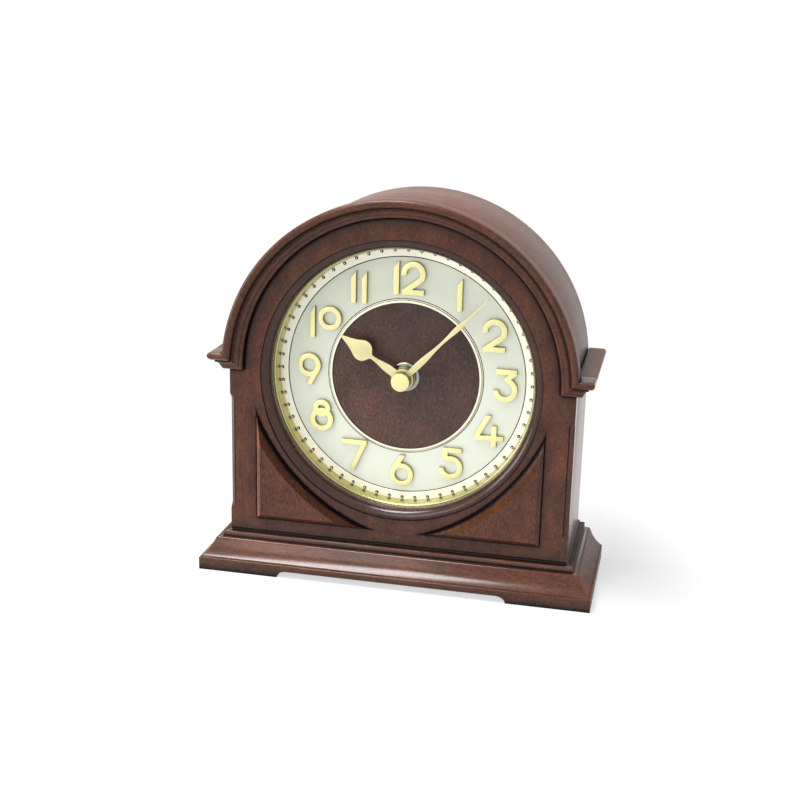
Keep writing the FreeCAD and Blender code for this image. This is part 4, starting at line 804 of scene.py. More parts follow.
class CLOCK_OT_finishes(bpy.types.Operator):
    """Make the woods, metals and plastics of the clock"""
    bl_idname = "clock.finishes"
    bl_label = "Finishes"

    def execute(self, context):
        colours = context.scene.clock_colours
        for name, looks in WOODS.items():
            stained_wood("stained_wood_" + name, colours, **looks)
        for name, looks in METALS.items():
            gilt(name, *looks)
        made = {name: plain_finish(name, *looks) for name, looks in PLAIN_FINISHES.items()}
        self.gilding(colours)
        self.dial(colours)
        self.marks(made)
        return {"FINISHED"}

    def gilding(self, colours):
        gilt("polished_gilt", colours.gold, 0.27, 1.0, 0.001, wear=0.05)
        numerals = gilt("pale_gilt", colours.pale_gold, 0.34, 0.45, 0.0004, wear=0.03)
        shade_painted_sides(numerals, RELIEF_SHADE)
        cap = gilt("cap_gilt", tuple(c * 0.86 for c in colours.pale_gold), 0.38, 0.35, 0.0004,
                   wear=0.03)
        shade_painted_sides(cap, RELIEF_SHADE)
        shade_painted_sides(gilt("matt_gilt", colours.hand_gold, 0.42, 0.55, 0.0015), HAND_SHADE)

    def dial(self, colours):
        gilt("cream_lacquer", colours.cream, 0.34, 0.2, 0.0003, wear=0.02)
        # A darker copy of the cream for the centre ring: painted shade, which keeps the ring from
        # going white under the lamps
        lined = gilt("cream_lined", (0.90, 0.86, 0.67), 0.34, 0.2, 0.0003, wear=0.02)
        ring_lines(lined, [(37.2, 37.44), (38.50, 38.78)])
        dots = gilt("dot_gilt", colours.cream, 0.45, 0.0, 0.0003)
        dots.set("Specular IOR Level", 0.1)
        # Painted shade: the dots are dark all round but for a small cream top
        front = place(0, RING_FRONT - 0.53, 0).y
        banded(dots, 1, [(front, front + MM, DOT_SIDE_SHADE)])
        # Painted shadow: the chapter ring and the dial's centre darken towards the top, as if
        # shaded by the opening's upper edge
        painted_shade_upwards(spun_metal("satin_silver", colours.silver, 0.36, 0.55), 0.35, DIAL_Z - 50,
               DIAL_Z + 60, (0.80, 0.80, 0.78))
        painted_shade_upwards(brown_centre("dial_brown", colours.brown), -0.4, DIAL_Z - 34, DIAL_Z + 30,
               (0.55, 0.60, 0.58))

    def marks(self, made):
        """A dark face on the dial plate, the coil's turns, and the battery's bands."""
        low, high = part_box("dial_plate")
        # The plate's face is dark, and shows as dark lines in the gaps between the rings
        banded(made["painted_plate"], 1, [(low.y - MM, low.y + 0.05 * MM, DARK_PLATE_FACE)])
        winding = made["copper_winding"]
        wave = winding.node("ShaderNodeTexWave", bands_direction="X")
        wave.inputs["Scale"].default_value = 900.0
        winding.link(winding.coordinates, wave.inputs["Vector"])
        winding.bump(wave.outputs["Fac"], 0.08 * MM, 0.8)
        low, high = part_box("battery")
        banded(made["cell_sleeve"], 0, [
            (high.x - 14 * MM, high.x - 1.2 * MM, SLEEVE_BAND),
            (high.x - 1.0 * MM, high.x + MM, CELL_CAN),
            (low.x - MM, low.x + 0.6 * MM, CELL_CAN)])


def stacked(name, section, start_z):
    """A board moulded on its front and sides: a rectangle pulled up and drawn in step by step."""
    deselect()
    first = section[0][0]
    back_y = BASE_DEPTH / 2 * MM
    half = (BASE_HALF - first) * MM
    depth = (BASE_DEPTH - first) * MM
    bpy.ops.mesh.primitive_plane_add(size=1.0, location=(0, back_y - depth / 2, start_z * MM))
    piece = named(name)
    piece.scale = (2 * half, depth, 1)
    bpy.ops.object.transform_apply(location=True, rotation=True, scale=True)
    bpy.ops.object.mode_set(mode="EDIT")
    bpy.ops.mesh.select_all(action="SELECT")
    here = start_z
    for inset, z in section:
        pull(UP * (z - here) * MM)
        new_half = (BASE_HALF - inset) * MM
        new_depth = (BASE_DEPTH - inset) * MM
        bpy.ops.transform.resize(value=(new_half / half, new_depth / depth, 1),
                                 center_override=(0, back_y, z * MM))
        half, depth, here = new_half, new_depth, z
    tidy_shell()
    return piece


class CLOCK_OT_base(bpy.types.Operator):
    """Model the moulded plinth and the stepped board on it"""
    bl_idname = "clock.base"
    bl_label = "Base"

    def execute(self, context):
        plinth = stacked("moulded_plinth", PLINTH_SECTION, 0.0)
        half, rise, reach = 58.5, 3.4, 5.0
        outline = [(-half, -CLEAR), (-half, 0.0)]
        outline += [(-half + reach * (1 - cos), rise * sin) for sin, cos in quarter(8)]
        outline += [(-x, z) for x, z in reversed(outline)]
        recess = draw("foot_recess", [place(x, -40.0, z) for x, z in outline])
        pull(BACK * 150 * MM)
        tidy_shell()
        combine(plinth, recess, "DIFFERENCE")
        soften(plinth, context.scene.clock_case.edge_softening * 0.8)
        # The plinth and the stepped board take lighter copies of the wood: painted light
        settle_wood(plinth, "plinth", "plinth")
        steps = stacked("stepped_board", STEP_SECTION, PLINTH_TOP)
        settle_wood(steps, "steps", "step_board")
        # Their ends take a lighter copy again: painted light on the end faces
        # One end at a time, because the long faces of the front reach both
        for piece in (plinth, steps):
            for side in (1, -1):
                paint(piece, "stained_wood_ends", lambda at: side * at.x > 80)
        return {"FINISHED"}


def arch_outline(half, depth=0.0):
    points = [place(half, depth, CASE_FOOT)]
    for index in range(ARCH_STEPS + 1):
        angle = math.pi * index / ARCH_STEPS
        points.append(place(half * math.cos(angle), depth, ARCH_Z + half * math.sin(angle)))
    points.append(place(-half, depth, CASE_FOOT))
    return points


class CLOCK_OT_case(bpy.types.Operator):
    """Model the front panel, the sides, the arched top and the back"""
    bl_idname = "clock.case"
    bl_label = "Case"

    def execute(self, context):
        sizes = context.scene.clock_case
        self.front(sizes)
        self.shell(sizes.edge_softening)
        self.back(sizes.back_hole / MM)
        self.screws()
        return {"FINISHED"}

    def front(self, sizes):
        panel = draw("front_board", arch_outline(CASE_HALF))
        pull(BACK * PANEL * MM)
        tidy_shell()
        radius = sizes.opening_radius / MM
        edge = sizes.opening_edge / MM
        quirk = sizes.opening_quirk / MM
        section = [(0.0, -CLEAR), (radius + edge, -CLEAR), (radius + edge, quirk)]
        section += [(radius + edge * (1 - sin), quirk + edge * (1 - cos))
                    for sin, cos in quarter(12)]
        section += [(radius, PANEL + CLEAR), (0.0, PANEL + CLEAR)]
        combine(panel, turned("opening_tool", section), "DIFFERENCE")
        for side in (1, -1):
            combine(panel, self.chamfer_tool(sizes.chamfer / MM, side), "DIFFERENCE")
        settle_wood(panel, "front", "front_panel")
        # Painted shade: the opening's rounded edge takes a darker copy of the wood
        outer = radius + edge + 0.05
        paint(panel, "stained_wood_hollow",
              lambda at: math.hypot(at.x, at.z - DIAL_Z) < outer and at.y > FACE_Y + quirk - 0.05)

    def chamfer_tool(self, size, side):
        """A bar for the stopped chamfer of one corner, drawn in at both ends."""
        low, high, run = 33.6, 89.0, 3.0
        quirk, x = 0.45, CASE_HALF
        corners = [(x - size - quirk, -1), (x - size - quirk, quirk), (x - size + quirk, quirk),
                   (x + 1, size + 1), (x + 1, -1)]
        tool = draw("chamfer_tool", [place(side * px, depth, low) for px, depth in corners])
        pull(UP * (high - low) * MM)
        drawn_in = size * 0.52
        shift = Vector((side * drawn_in, -drawn_in, run)) * MM
        pull(shift)
        mesh = bmesh.from_edit_mesh(tool.data)
        matrix = tool.matrix_world
        bpy.ops.mesh.select_all(action="DESELECT")
        for face in mesh.faces:
            if all(abs((matrix @ v.co).z - low * MM) < FINE for v in face.verts):
                face.select_set(True)
        bmesh.update_edit_mesh(tool.data)
        pull(Vector((shift.x, shift.y, -shift.z)))
        tidy_shell()
        return tool

    def shell(self, softening):
        inner = CASE_HALF - WALL
        section = [(inner, PANEL), (CASE_HALF, PANEL), (CASE_HALF, CASE_DEPTH), (inner, CASE_DEPTH)]
        shell = draw("arched_top", [place(x, depth, ARCH_Z) for x, depth in section])
        spin(math.pi, ARCH_STEPS, place(0, 0, ARCH_Z))
        tidy_shell()
        soften(shell, softening, angle=60.0)
        # The arched top and, below, the sides take lighter copies of the wood: painted light
        settle_wood(shell, "shell", "arch_shell")
        side = draw("right_side", [place(x, depth, CASE_FOOT) for x, depth in section])
        pull(UP * (ARCH_Z - CASE_FOOT) * MM)
        tidy_shell()
        soften(side, softening, angle=60.0)
        left = mirrored_copy(side, "left_side")
        settle_wood(side, "side", "side_right")
        settle_wood(left, "side", "side_left")

    def back(self, hole):
        front, back = CASE_DEPTH - BACK_BOARD, CASE_DEPTH
        board = draw("back_board", arch_outline(CASE_HALF - WALL - 0.2, front))
        pull(BACK * BACK_BOARD * MM)
        tidy_shell()
        opening = turned("round_tool", [(0.0, front - CLEAR), (hole, front - CLEAR),
                                        (hole, back + CLEAR), (0.0, back + CLEAR)])
        combine(board, opening, "DIFFERENCE")
        for x, z in SCREW_PLACES:
            seat = turned("screw_seat", [(0.0, front - 1), (1.3, front - 1), (1.3, back - 1.6),
                                         (3.2, back + 0.3), (0.0, back + 0.3)],
                          x=x, z=z, steps=SCREW_STEPS)
            combine(board, seat, "DIFFERENCE")
        settle_wood(board, "z", "back_panel")

    def screws(self):
        """One countersunk screw with a crossed slot, copied to the other places."""
        (x, z), *others = SCREW_PLACES
        back = CASE_DEPTH
        screw = turned("back_screws", [(0.0, back - 12.6), (1.3, back - 12.6), (1.3, back - 1.6),
                                       (2.85, back - 0.05), (2.8, back), (0.0, back)],
                       x=x, z=z, steps=SCREW_STEPS)
        for across, up in ((1.8, 0.3), (0.3, 1.8)):
            corners = [(x - across, z - up), (x + across, z - up), (x + across, z + up),
                       (x - across, z + up)]
            slot = draw("screw_slot", [place(px, back - 0.9, pz) for px, pz in corners])
            pull(BACK * 1.5 * MM)
            tidy_shell()
            combine(screw, slot, "DIFFERENCE")
        edit(screw)
        for next_x, next_z in others:
            step = place(next_x, 0, next_z) - place(x, 0, z)
            bpy.ops.mesh.duplicate_move(TRANSFORM_OT_translate={"value": step})
            x, z = next_x, next_z
        to_object_mode()
        settle(screw, "blackened_steel", "back_screws")


def cornice_outline(place_point):
    return [place_point(out, up) for out, up in CORNICE_SECTION]


class CLOCK_OT_cornice(bpy.types.Operator):
    """Model the moulding over the arch, its ears, and its runs along the sides"""
    bl_idname = "clock.cornice"
    bl_label = "Cornice"
    smooth = 28.0

    def execute(self, context):
        self.arch()
        self.ears()
        self.sides()
        return {"FINISHED"}

    def arch(self):
        drop = 2.0
        moulding = draw("arch_cornice", cornice_outline(
            lambda out, up: place(CORNICE_R + up, -out, ARCH_Z - drop)))
        pull(UP * drop * MM)
        spin(math.pi, ARCH_STEPS, place(0, 0, ARCH_Z))
        pull(-UP * drop * MM)
        for side in (1, -1):
            cut_away(place(side * CORNICE_R, 0, CORNICE_FOOT),
                     Vector((side * DIAGONAL, 0, -DIAGONAL)))
        tidy_shell()
        settle_wood(moulding, "arc", "arch_moulding", self.smooth)
        # Its outer face takes the arched top's lighter, less glossy copy of the wood: painted light
        outside = CORNICE_R + max(up for out, up in CORNICE_SECTION) - 0.3
        paint(moulding, "stained_wood_shell",
              lambda at: math.hypot(at.x, at.z - ARCH_Z) > outside)

    def ears(self):
        length = 60.0
        front = draw("right_ear", cornice_outline(
            lambda out, up: place(length, -out, CORNICE_FOOT + up)))
        pull(RIGHT * length * MM)
        corner = place(CASE_HALF, 0, CORNICE_FOOT)
        cut_away(corner, Vector((DIAGONAL, DIAGONAL, 0)), filled=False)
        cut_away(place(CORNICE_R, 0, CORNICE_FOOT), Vector((-DIAGONAL, 0, DIAGONAL)))
        tidy_shell()
        side = draw("right_ear_return", cornice_outline(
            lambda out, up: place(CASE_HALF + out, -length, CORNICE_FOOT + up)))
        pull(BACK * (length + EAR_BACK) * MM)
        cut_away(corner, Vector((-DIAGONAL, -DIAGONAL, 0)), filled=False)
        tidy_shell()
        select_only(front, side)
        bpy.ops.object.join()
        edit(front)
        tidy_shell(0.01 * MM)
        left = mirrored_copy(front, "left_ear")
        settle_wood(front, "x", "ear_right", self.smooth)
        settle_wood(left, "x", "ear_left", self.smooth)

    def sides(self):
        start = EAR_BACK + EAR_GAP
        bar = draw("right_cornice", cornice_outline(
            lambda out, up: place(CASE_HALF + out, start, CORNICE_FOOT + up)))
        pull(BACK * (CASE_DEPTH - start) * MM)
        round_x, round_depth, radius = CASE_HALF + 7.7, CASE_DEPTH - 1.1, 1.1
        for share in (0.25, 0.75):
            turn = share * math.pi / 2
            cut_away(place(round_x + radius * math.cos(turn),
                           round_depth + radius * math.sin(turn), 0),
                     Vector((math.cos(turn), math.sin(turn), 0)))
        tidy_shell()
        left = mirrored_copy(bar, "left_cornice")
        # The side runs take the ends' lighter copy of the wood: painted light
        settle_wood(bar, "ends", "side_cornice_right", self.smooth)
        settle_wood(left, "ends", "side_cornice_left", self.smooth)


class CLOCK_OT_corner_panels(bpy.types.Operator):
    """Model the raised three-cornered panels under the dial"""
    bl_idname = "clock.corner_panels"
    bl_label = "Corner panels"

    def execute(self, context):
        height = context.scene.clock_case.spandrel_height / MM
        edge, bevel, arc_bevel, swell, smooth = 0.5, 2.0, 4.7, 0.32, 12.0
        slope = height - edge
        panel = draw("right_corner_panel", [
            place(x, 0, z) for x, z in ((0, CORNER_FOOT), (CORNER_OUTER, CORNER_FOOT),
                                        (CORNER_OUTER, DIAL_Z), (0, DIAL_Z))])
        pull(-BACK * height * MM)
        cut_away(place(CORNER_OUTER, -edge, CORNER_FOOT), Vector((slope, -bevel, 0)).normalized())
        cut_away(place(0, -edge, CORNER_FOOT), Vector((0, -bevel, -slope)).normalized())
        tidy_shell()
        section = [(0.0, 1.0), (CORNER_ARC_R, 1.0), (CORNER_ARC_R, -edge)]
        for index in range(1, 7):
            share = index / 6
            section.append((CORNER_ARC_R + arc_bevel * share,
                            -edge - slope * share - swell * math.sin(math.pi * share)))
        section += [(CORNER_ARC_R + arc_bevel, -height - 1.0), (0.0, -height - 1.0)]
        tool = turned("arc_tool", section, x=CORNER_ARC_X, z=CORNER_ARC_Z, steps=360)
        combine(panel, tool, "DIFFERENCE")
        left = mirrored_copy(panel, "left_corner_panel")
        settle_wood(panel, "z", "spandrel_right", smooth)
        settle_wood(left, "z", "spandrel_left", smooth)

        def on_bevel(at):
            reach = math.hypot(abs(at.x) - CORNER_ARC_X, at.z - CORNER_ARC_Z)
            return reach < CORNER_ARC_R + arc_bevel + 0.1

        # Painted light and shade: the right panel's arc bevel takes a lit copy of the wood, the
        # left one's a shaded copy, and the left panel's outer straight bevel a painted highlight
        paint(panel, "stained_wood_bevel", on_bevel)
        paint(left, "stained_wood_worn", lambda at: at.x < bevel - CORNER_OUTER + 0.1)
        paint(left, "stained_wood_shade", on_bevel)
        return {"FINISHED"}


class CLOCK_OT_bezel(bpy.types.Operator):
    """Model the gilt ring that lines the opening, with its fixing tabs"""
    bl_idname = "clock.bezel"
    bl_label = "Bezel"

    def execute(self, context):
        inner = context.scene.clock_dial.bezel_radius / MM
        lip, wall, taper, flange = 0.9, 0.8, 0.3, 8.9
        section = [(inner + flange, PANEL), (inner + lip, PANEL)]
        section += [(inner + lip * (1 - sin), PANEL + lip * (1 - cos)) for sin, cos in quarter(8)]
        section += [(inner - taper, DIAL_BACK), (inner + wall - taper, DIAL_BACK),
                    (inner + wall, PANEL + wall), (inner + flange, PANEL + wall)]
        ring = turned("gilt_bezel", section)
        rim = inner + wall - taper
        tab = draw("bezel_tabs", [place(x, depth, DIAL_Z - 3.0) for x, depth in (
            (rim, PANEL + wall), (rim + 0.9, PANEL + wall), (rim + 0.9, 17.1), (rim - 1.6, 17.1),
            (rim - 1.6, 16.6), (rim, 16.6))])
        pull(UP * 6.0 * MM)
        bpy.ops.mesh.select_all(action="SELECT")
        copy_round(6)
        tidy_shell()
        select_only(ring, tab)
        bpy.ops.object.join()
        settle(ring, "polished_gilt", "bezel")
        return {"FINISHED"}


def copy_round(count):
    """Copies the selection round the dial, evenly, until there are that many."""
    others = count - 1
    bpy.ops.mesh.spin(steps=others, dupli=True, angle=TURN * others / count,
                      center=place(0, 0, DIAL_Z), axis=BACK)


class CLOCK_OT_dial(bpy.types.Operator):
    """Model the minute ring with its dots, the chapter ring and the dial's centre"""
    bl_idname = "clock.dial"
    bl_label = "Dial"

    def execute(self, context):
        dial = context.scene.clock_dial
        front, chapter, disc, back = RING_FRONT, CHAPTER_FRONT, DISC_FRONT, DIAL_BACK
        outer = dial.bezel_radius / MM - 0.3
        ring = turned("cream_minute_ring", [
            (60.5, front + 0.12), (60.6, front), (outer, front), (outer, back), (60.5, back)])
        settle(ring, "cream_lacquer", "minute_ring")
        settle(self.dots(dial), "dot_gilt", "minute_ring")
        ring = turned("satin_chapter_ring", [
            (39.6, chapter + 0.06), (39.66, chapter), (59.94, chapter), (60.0, chapter + 0.06),
            (60.0, back), (39.6, back)])
        settle(ring, "satin_silver", "chapter_ring")
        ring = turned("cream_centre_ring", [
            (37.3, 14.66), (37.38, 14.6), (38.2, 14.6), (38.5, 14.7), (39.2, 15.2), (39.2, back),
            (37.3, back)])
        settle(ring, "cream_lined", "centre_ring")
        centre = turned("brown_dial_centre", [(4.1, disc), (37.3, disc), (37.3, back), (4.1, back)])
        settle(centre, "dial_brown", "centre_disc")
        return {"FINISHED"}

    def dots(self, dial):
        """One raised dot, copied round the ring."""
        deselect()
        radius = dial.dot_radius
        height = 0.6 * MM
        ball = (radius ** 2 + height ** 2) / (2 * height)
        at = place(0, RING_FRONT, DIAL_Z) + UP * dial.dot_circle + BACK * (ball - height)
        bpy.ops.mesh.primitive_uv_sphere_add(segments=16, ring_count=16, radius=ball, location=at)
        dots = named("minute_dots")
        edit(dots)
        cut_away(place(0, RING_FRONT + 0.02, DIAL_Z), BACK)
        copy_round(60)
        tidy_shell()
        return dots


class CLOCK_OT_numerals(bpy.types.Operator):
    """Model the twelve raised numerals from bars and bows"""
    bl_idname = "clock.numerals"
    bl_label = "Numerals"

    def execute(self, context):
        dial = context.scene.clock_dial
        self.half = dial.numeral_height / MM / 2
        self.stroke = dial.numeral_stroke / MM
        self.relief = dial.numeral_relief
        self.head = self.half - self.stroke / 2
        self.bend = BOWL - self.stroke / 2
        circle = dial.numeral_circle / MM
        for name, (right, up) in NUMERAL_PLACES.items():
            self.middle = (circle * right, DIAL_Z + circle * up)
            self.solids = []
            self.digits(name)
            self.finish(name)
        return {"FINISHED"}

    def at(self, x, z):
        return place(self.middle[0] + x, CHAPTER_FRONT, self.middle[1] + z)

    def bar(self, start, end):
        """Straight stroke between two places of the numeral, trimmed to its height."""
        run = Vector((end[0] - start[0], end[1] - start[1]))
        across = Vector((-run.y, run.x)).normalized() * self.stroke / 2
        corners = [(start[0] + across.x, start[1] + across.y),
                   (start[0] - across.x, start[1] - across.y),
                   (end[0] - across.x, end[1] - across.y),
                   (end[0] + across.x, end[1] + across.y)]
        piece = draw("stroke", [self.at(x, z) for x, z in corners])
        pull(-BACK * self.relief)
        if max(z for x, z in corners) > self.half + 0.01:
            cut_away(self.at(0, self.half), UP)
        if min(z for x, z in corners) < -self.half - 0.01:
            cut_away(self.at(0, -self.half), -UP)
        tidy_shell()
        self.solids.append(piece)
        return piece

    def bow(self, centre, radius, start=0, end=360):
        """Curved stroke about a centre, from one angle to another, anticlockwise as seen."""
        whole = abs(end - start) >= 360
        inner, outer = radius - self.stroke / 2, radius + self.stroke / 2
        a = math.radians(start)
        direction = Vector((math.cos(a), 0, math.sin(a)))
        middle = self.at(*centre)
        corners = [middle + direction * inner * MM, middle + direction * outer * MM]
        corners += [c - BACK * self.relief for c in reversed(corners)]
        piece = draw("stroke", corners, filled=not whole)
        spin(math.radians(end - start), 48, middle)
        tidy_shell()
        self.solids.append(piece)

    def on_bow(self, centre, degrees, turn=1):
        """The place on a bow's middle line in a direction; turn is -1 for an upturned digit."""
        a = math.radians(degrees)
        return (centre[0] + turn * self.bend * math.cos(a),
                centre[1] + turn * self.bend * math.sin(a))

    def one(self, x):
        piece = self.bar((x, -self.half), (x, self.half))
        edit(piece)
        cut_away(self.at(x + self.stroke / 2, self.half), Vector((-1.35, 0, 1)).normalized())
        tidy_shell()

    def two(self, x):
        centre = (x, self.half - BOWL)
        left, right, foot = x - self.bend, x + self.bend + OVERRUN, -self.head
        self.bow(centre, self.bend, -39, 190)
        self.bar(self.on_bow(centre, -38), (left - 0.3, foot - 0.35))
        self.bar((left - OVERRUN, foot), (right, foot))

    def three(self, x):
        centre = (x, BOWL - self.half)
        self.bar((x - self.bend, self.head), (x + self.bend + OVERRUN, self.head))
        self.bar((x + self.bend, self.head), (x, centre[1] + self.bend))
        self.bow(centre, self.bend, -175, 85)

    def four(self, x):
        reach = 1.2 * BOWL
        level = -0.43 * self.half
        upright = x + 0.34 * reach
        self.bar((x + 0.14 * reach, self.half + self.stroke), (x - reach + OVERRUN, level))
        self.bar((x - reach, level), (x + reach, level))
        self.bar((upright, -self.half), (upright, 0.36 * self.half))

    def five(self, x):
        centre = (x, BOWL - self.half)
        stem, joint = self.on_bow(centre, 128)
        self.bar((stem - self.stroke / 2, self.head), (x + self.bend + OVERRUN, self.head))
        self.bar((stem, self.half), (stem, joint))
        self.bow(centre, self.bend, -175, 128)

    def six(self, x, turn=1):
        centre = (x, turn * (BOWL - self.half))
        self.bow(centre, self.bend)
        self.bar(self.on_bow(centre, 142, turn),
                 (x + turn * 0.35 * self.bend, turn * (self.half + self.stroke)))

    def seven(self, x):
        reach = 1.08 * BOWL
        self.bar((x - reach, self.head), (x + reach, self.head))
        self.bar((x + reach - self.stroke / 2, self.head),
                 (x - 0.35 * reach, -self.half - self.stroke))

    def eight(self, x):
        small = 0.74 * BOWL - self.stroke / 2
        self.bow((x, BOWL - self.half), self.bend)
        self.bow((x, self.half - small - self.stroke / 2), small)

    def nine(self, x):
        self.six(x, turn=-1)

    def nought(self, x):
        self.bow((x, self.half - BOWL), self.bend)

    def digits(self, name):
        pairs = {"10": (0.75, self.nought), "12": (0.55, self.two)}
        if name in pairs:
            gap, second = pairs[name]
            half = self.stroke / 2 + gap + BOWL
            self.one(self.stroke / 2 - half)
            second(half - BOWL)
        elif name == "11":
            for x in (-2.75, 2.75):
                self.one(x)
        else:
            (self.one, self.two, self.three, self.four, self.five, self.six, self.seven,
             self.eight, self.nine)[int(name) - 1](0)

    def finish(self, name):
        whole = self.solids[0]
        for solid in self.solids[1:]:
            combine(whole, solid, "UNION")
        edit(whole)
        bpy.ops.mesh.dissolve_limited(angle_limit=math.radians(1.0))
        tidy_shell()
        whole.name = "raised_numeral_" + name
        whole.data.name = whole.name
        soften(whole, 0.42 * MM, segments=2)
        settle(whole, "pale_gilt", "numeral_" + name, smooth=40.0)


class CLOCK_OT_hands(bpy.types.Operator):
    """Model the washer, the nut, the two hands and their cap"""
    bl_idname = "clock.hands"
    bl_label = "Hands"

    def execute(self, context):
        hands = context.scene.clock_hands
        washer = turned("chromed_washer", [
            (4.1, 14.35), (4.25, 14.2), (6.2, 14.2), (6.9, 14.25), (7.3, 14.45), (7.5, 14.8),
            (7.5, DISC_FRONT), (4.1, DISC_FRONT)])
        settle(washer, "bright_chrome", "dial_washer")
        nut = turned("brass_nut", [
            (4.0, 12.3), (5.3, 12.3), (5.62, 12.42), (5.8, 12.75), (5.8, 14.2), (4.0, 14.2)])
        settle(nut, "dull_brass", "dial_nut")
        self.hand("hour_hand", HOUR_OUTLINE, hands.hour_angle, hands.thickness, 5.2, 2.4, HOUR_BODY)
        self.hand("minute_hand", MINUTE_OUTLINE, hands.minute_angle, hands.thickness, 4.4, 1.5,
                  MINUTE_BODY)
        front, back = depths("hand_cap")
        r = hands.cap_radius / MM
        cap = turned("gilt_cap", [(0.0, front), (r - 0.5, front), (r - 0.19, front + 0.1),
                                  (r, front + 0.4), (r, back), (0.0, back)])
        settle(cap, "cap_gilt", "hand_cap", MINUTE_BODY)
        return {"FINISHED"}

    def hand(self, node, outline, angle, thickness, hub, bore, body):
        """A flat pointed hand on a round hub, drawn upright and then turned to its place."""
        front, back = depths(node)
        right = curve_through(outline)
        around = [(width, along) for along, width in right]
        around += [(-width, along) for along, width in reversed(right)]
        blade = draw("pointed_" + node, [place(x, front, DIAL_Z + z) for x, z in around])
        pull(BACK * thickness)
        bpy.ops.mesh.select_all(action="SELECT")
        bpy.ops.transform.rotate(value=-angle, orient_axis="Y",
                                 center_override=place(0, 0, DIAL_Z))
        tidy_shell()
        collar = turned("collar", [(bore, front), (hub, front), (hub, back), (bore, back)],
                        steps=96)
        combine(blade, collar, "UNION")
        soften(blade, 0.11 * MM, segments=2)
        settle(blade, "matt_gilt", node, body)


class CLOCK_OT_inside(bpy.types.Operator):
    """Give the solids of the inside their finishes"""
    bl_idname = "clock.inside"
    bl_label = "Inside"

    def execute(self, context):
        for finish, names in INNER_FINISHES.items():
            for name in names:
                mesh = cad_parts[name].data
                mesh.materials.clear()
                mesh.materials.append(bpy.data.materials[finish])
        return {"FINISHED"}


def background_rays(tree):
    """1 for the rays that show the background itself: to the camera, in gloss, through glass."""
    path = tree.nodes.new("ShaderNodeLightPath")
    seen = path.outputs["Is Camera Ray"]
    for ray in ("Is Glossy Ray", "Is Transmission Ray"):
        either = tree.nodes.new("ShaderNodeMath")
        either.operation = "MAXIMUM"
        tree.links.new(seen, either.inputs[0])
        tree.links.new(path.outputs[ray], either.inputs[1])
        seen = either.outputs[0]
    return seen


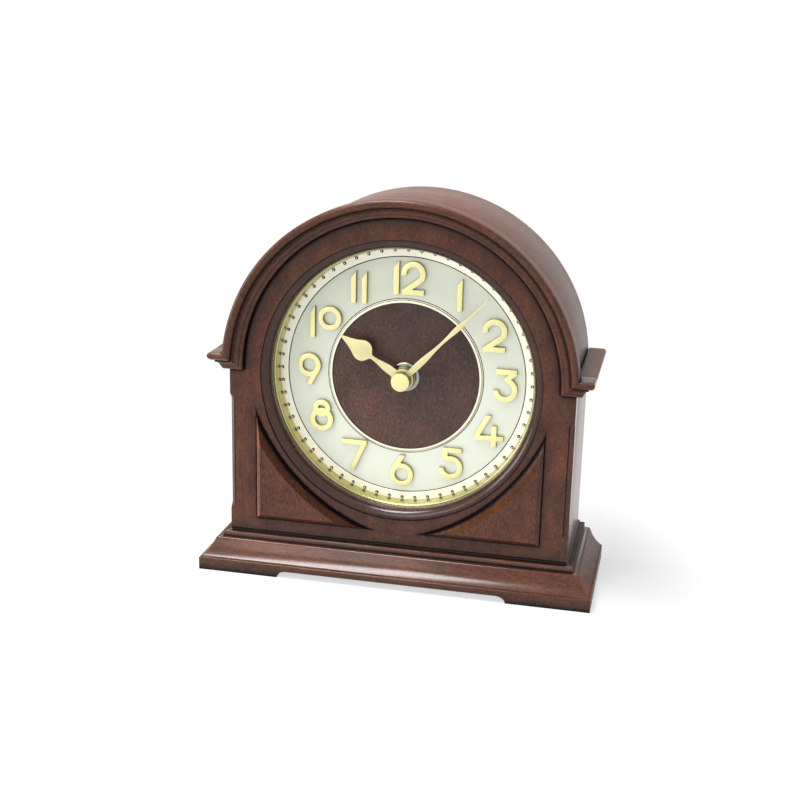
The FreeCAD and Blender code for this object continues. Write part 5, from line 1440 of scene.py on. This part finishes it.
class CLOCK_OT_stage(bpy.types.Operator):
    """Set the floor, the lights and the camera"""
    bl_idname = "clock.stage"
    bl_label = "Stage"

    def execute(self, context):
        stage = context.scene.clock_stage
        self.floor()
        self.world(context.scene)
        self.softbox("key_softbox", (-0.50, -1.20, 0.80), (0, 0, 0.1), 0.70, stage.key_power)
        self.softbox("top_softbox", (-0.34, -0.22, 1.15), (-0.1, 0, 0.05), 0.80, stage.top_power,
                     0.30)
        self.softbox("fill_softbox", (-1.20, -0.75, 0.30), (0, 0, 0.1), 0.60, stage.fill_power)
        self.camera(context.scene, stage)
        context.scene.view_settings.view_transform = "Standard"
        return {"FINISHED"}

    def floor(self):
        deselect()
        bpy.ops.mesh.primitive_circle_add(vertices=96, radius=3.0, fill_type="NGON",
                                          location=(0, 0, 0))
        floor = named("floor")
        floor.data.materials.append(self.paper())

    def paper(self):
        """Pale floor that turns to plain white away from the clock, and keeps its shadow."""
        finish = Finish("pale_floor", (0.86, 0.86, 0.86), 0.9, Specular_IOR_Level=0.0)
        far = finish.node("ShaderNodeVectorMath", operation="LENGTH")
        finish.link(finish.coordinates, far.inputs[0])
        white = finish.ranged(far.outputs["Value"], 0.12, 0.45, 0.62, 1.0)
        glow = finish.node("ShaderNodeEmission")
        mixer = finish.node("ShaderNodeMixShader")
        seen = finish.math("MULTIPLY", white, background_rays(finish.tree))
        for out, socket in zip((seen, finish.shader.outputs[0], glow.outputs[0]), mixer.inputs):
            finish.link(out, socket)
        finish.link(mixer.outputs[0], finish.tree.nodes["Material Output"].inputs["Surface"])
        return finish.material

    def world(self, scene):
        """White to the eye, and a softer light on the clock."""
        world = bpy.data.worlds.new("studio")
        scene.world = world
        world.use_nodes = True
        tree = world.node_tree
        background = tree.nodes["Background"]
        background.inputs["Color"].default_value = (1, 1, 1, 1)
        strength = tree.nodes.new("ShaderNodeMapRange")
        strength.inputs["To Min"].default_value = 0.42
        strength.inputs["To Max"].default_value = 1.0
        tree.links.new(background_rays(tree), strength.inputs["Value"])
        tree.links.new(strength.outputs["Result"], background.inputs["Strength"])

    def softbox(self, name, at, aim, size, power, depth=None):
        deselect()
        bpy.ops.object.light_add(type="AREA", location=at)
        light = bpy.context.active_object
        light.name = name
        light.data.shape = "RECTANGLE"
        light.data.size = size
        light.data.size_y = depth or size
        light.data.energy = power
        direction = Vector(at) - Vector(aim)
        light.rotation_euler = direction.to_track_quat("Z", "Y").to_euler()

    def camera(self, scene, stage):
        azimuth, elevation, roll = stage.camera_azimuth, stage.camera_elevation, stage.camera_roll
        away = Vector((math.sin(azimuth) * math.cos(elevation),
                       -math.cos(azimuth) * math.cos(elevation), math.sin(elevation)))
        level = Vector((math.cos(azimuth), math.sin(azimuth), 0))
        upright = away.cross(level)
        across = level * math.cos(roll) + upright * math.sin(roll)
        upright = upright * math.cos(roll) - level * math.sin(roll)
        deselect()
        bpy.ops.object.camera_add()
        camera = bpy.context.active_object
        camera.name = "photo_camera"
        target = place(*CAMERA_TARGET)
        turn = Matrix((across, upright, away)).transposed().to_4x4()
        camera.matrix_world = Matrix.Translation(target + away * stage.camera_distance) @ turn
        camera.data.lens = stage.lens
        camera.data.sensor_width = 36.0
        camera.data.clip_start = 0.01
        camera.data.clip_end = 20.0
        scene.camera = camera


OPERATORS = (
    CLOCK_OT_finishes, CLOCK_OT_base, CLOCK_OT_case, CLOCK_OT_cornice, CLOCK_OT_corner_panels,
    CLOCK_OT_bezel, CLOCK_OT_dial, CLOCK_OT_numerals, CLOCK_OT_hands, CLOCK_OT_inside,
    CLOCK_OT_stage,
)
GROUPS = {"clock_case": ClockCase, "clock_dial": ClockDial, "clock_hands": ClockHands,
          "clock_colours": ClockColours, "clock_stage": ClockStage}


class CLOCK_PT_panel(bpy.types.Panel):
    """Sizes, colours and steps of the clock"""
    bl_idname = "CLOCK_PT_panel"
    bl_label = "Mantel clock"
    bl_space_type = "VIEW_3D"
    bl_region_type = "UI"
    bl_category = "Clock"

    def draw(self, context):
        for name, group in GROUPS.items():
            box = self.layout.box()
            for entry in group.__annotations__:
                box.prop(getattr(context.scene, name), entry)
        for operator in OPERATORS:
            self.layout.operator(operator.bl_idname)


def register():
    for group in GROUPS.values():
        bpy.utils.register_class(group)
    for name, group in GROUPS.items():
        setattr(bpy.types.Scene, name, PointerProperty(type=group))
    for operator in OPERATORS:
        bpy.utils.register_class(operator)
    bpy.utils.register_class(CLOCK_PT_panel)


def unregister():
    bpy.utils.unregister_class(CLOCK_PT_panel)
    for operator in reversed(OPERATORS):
        bpy.utils.unregister_class(operator)
    for name in GROUPS:
        delattr(bpy.types.Scene, name)
    for group in reversed(list(GROUPS.values())):
        bpy.utils.unregister_class(group)


def main():
    register()
    for operator in OPERATORS:
        group, name = operator.bl_idname.split(".")
        getattr(getattr(bpy.ops, group), name)()


if __name__ == "__main__":
    main()
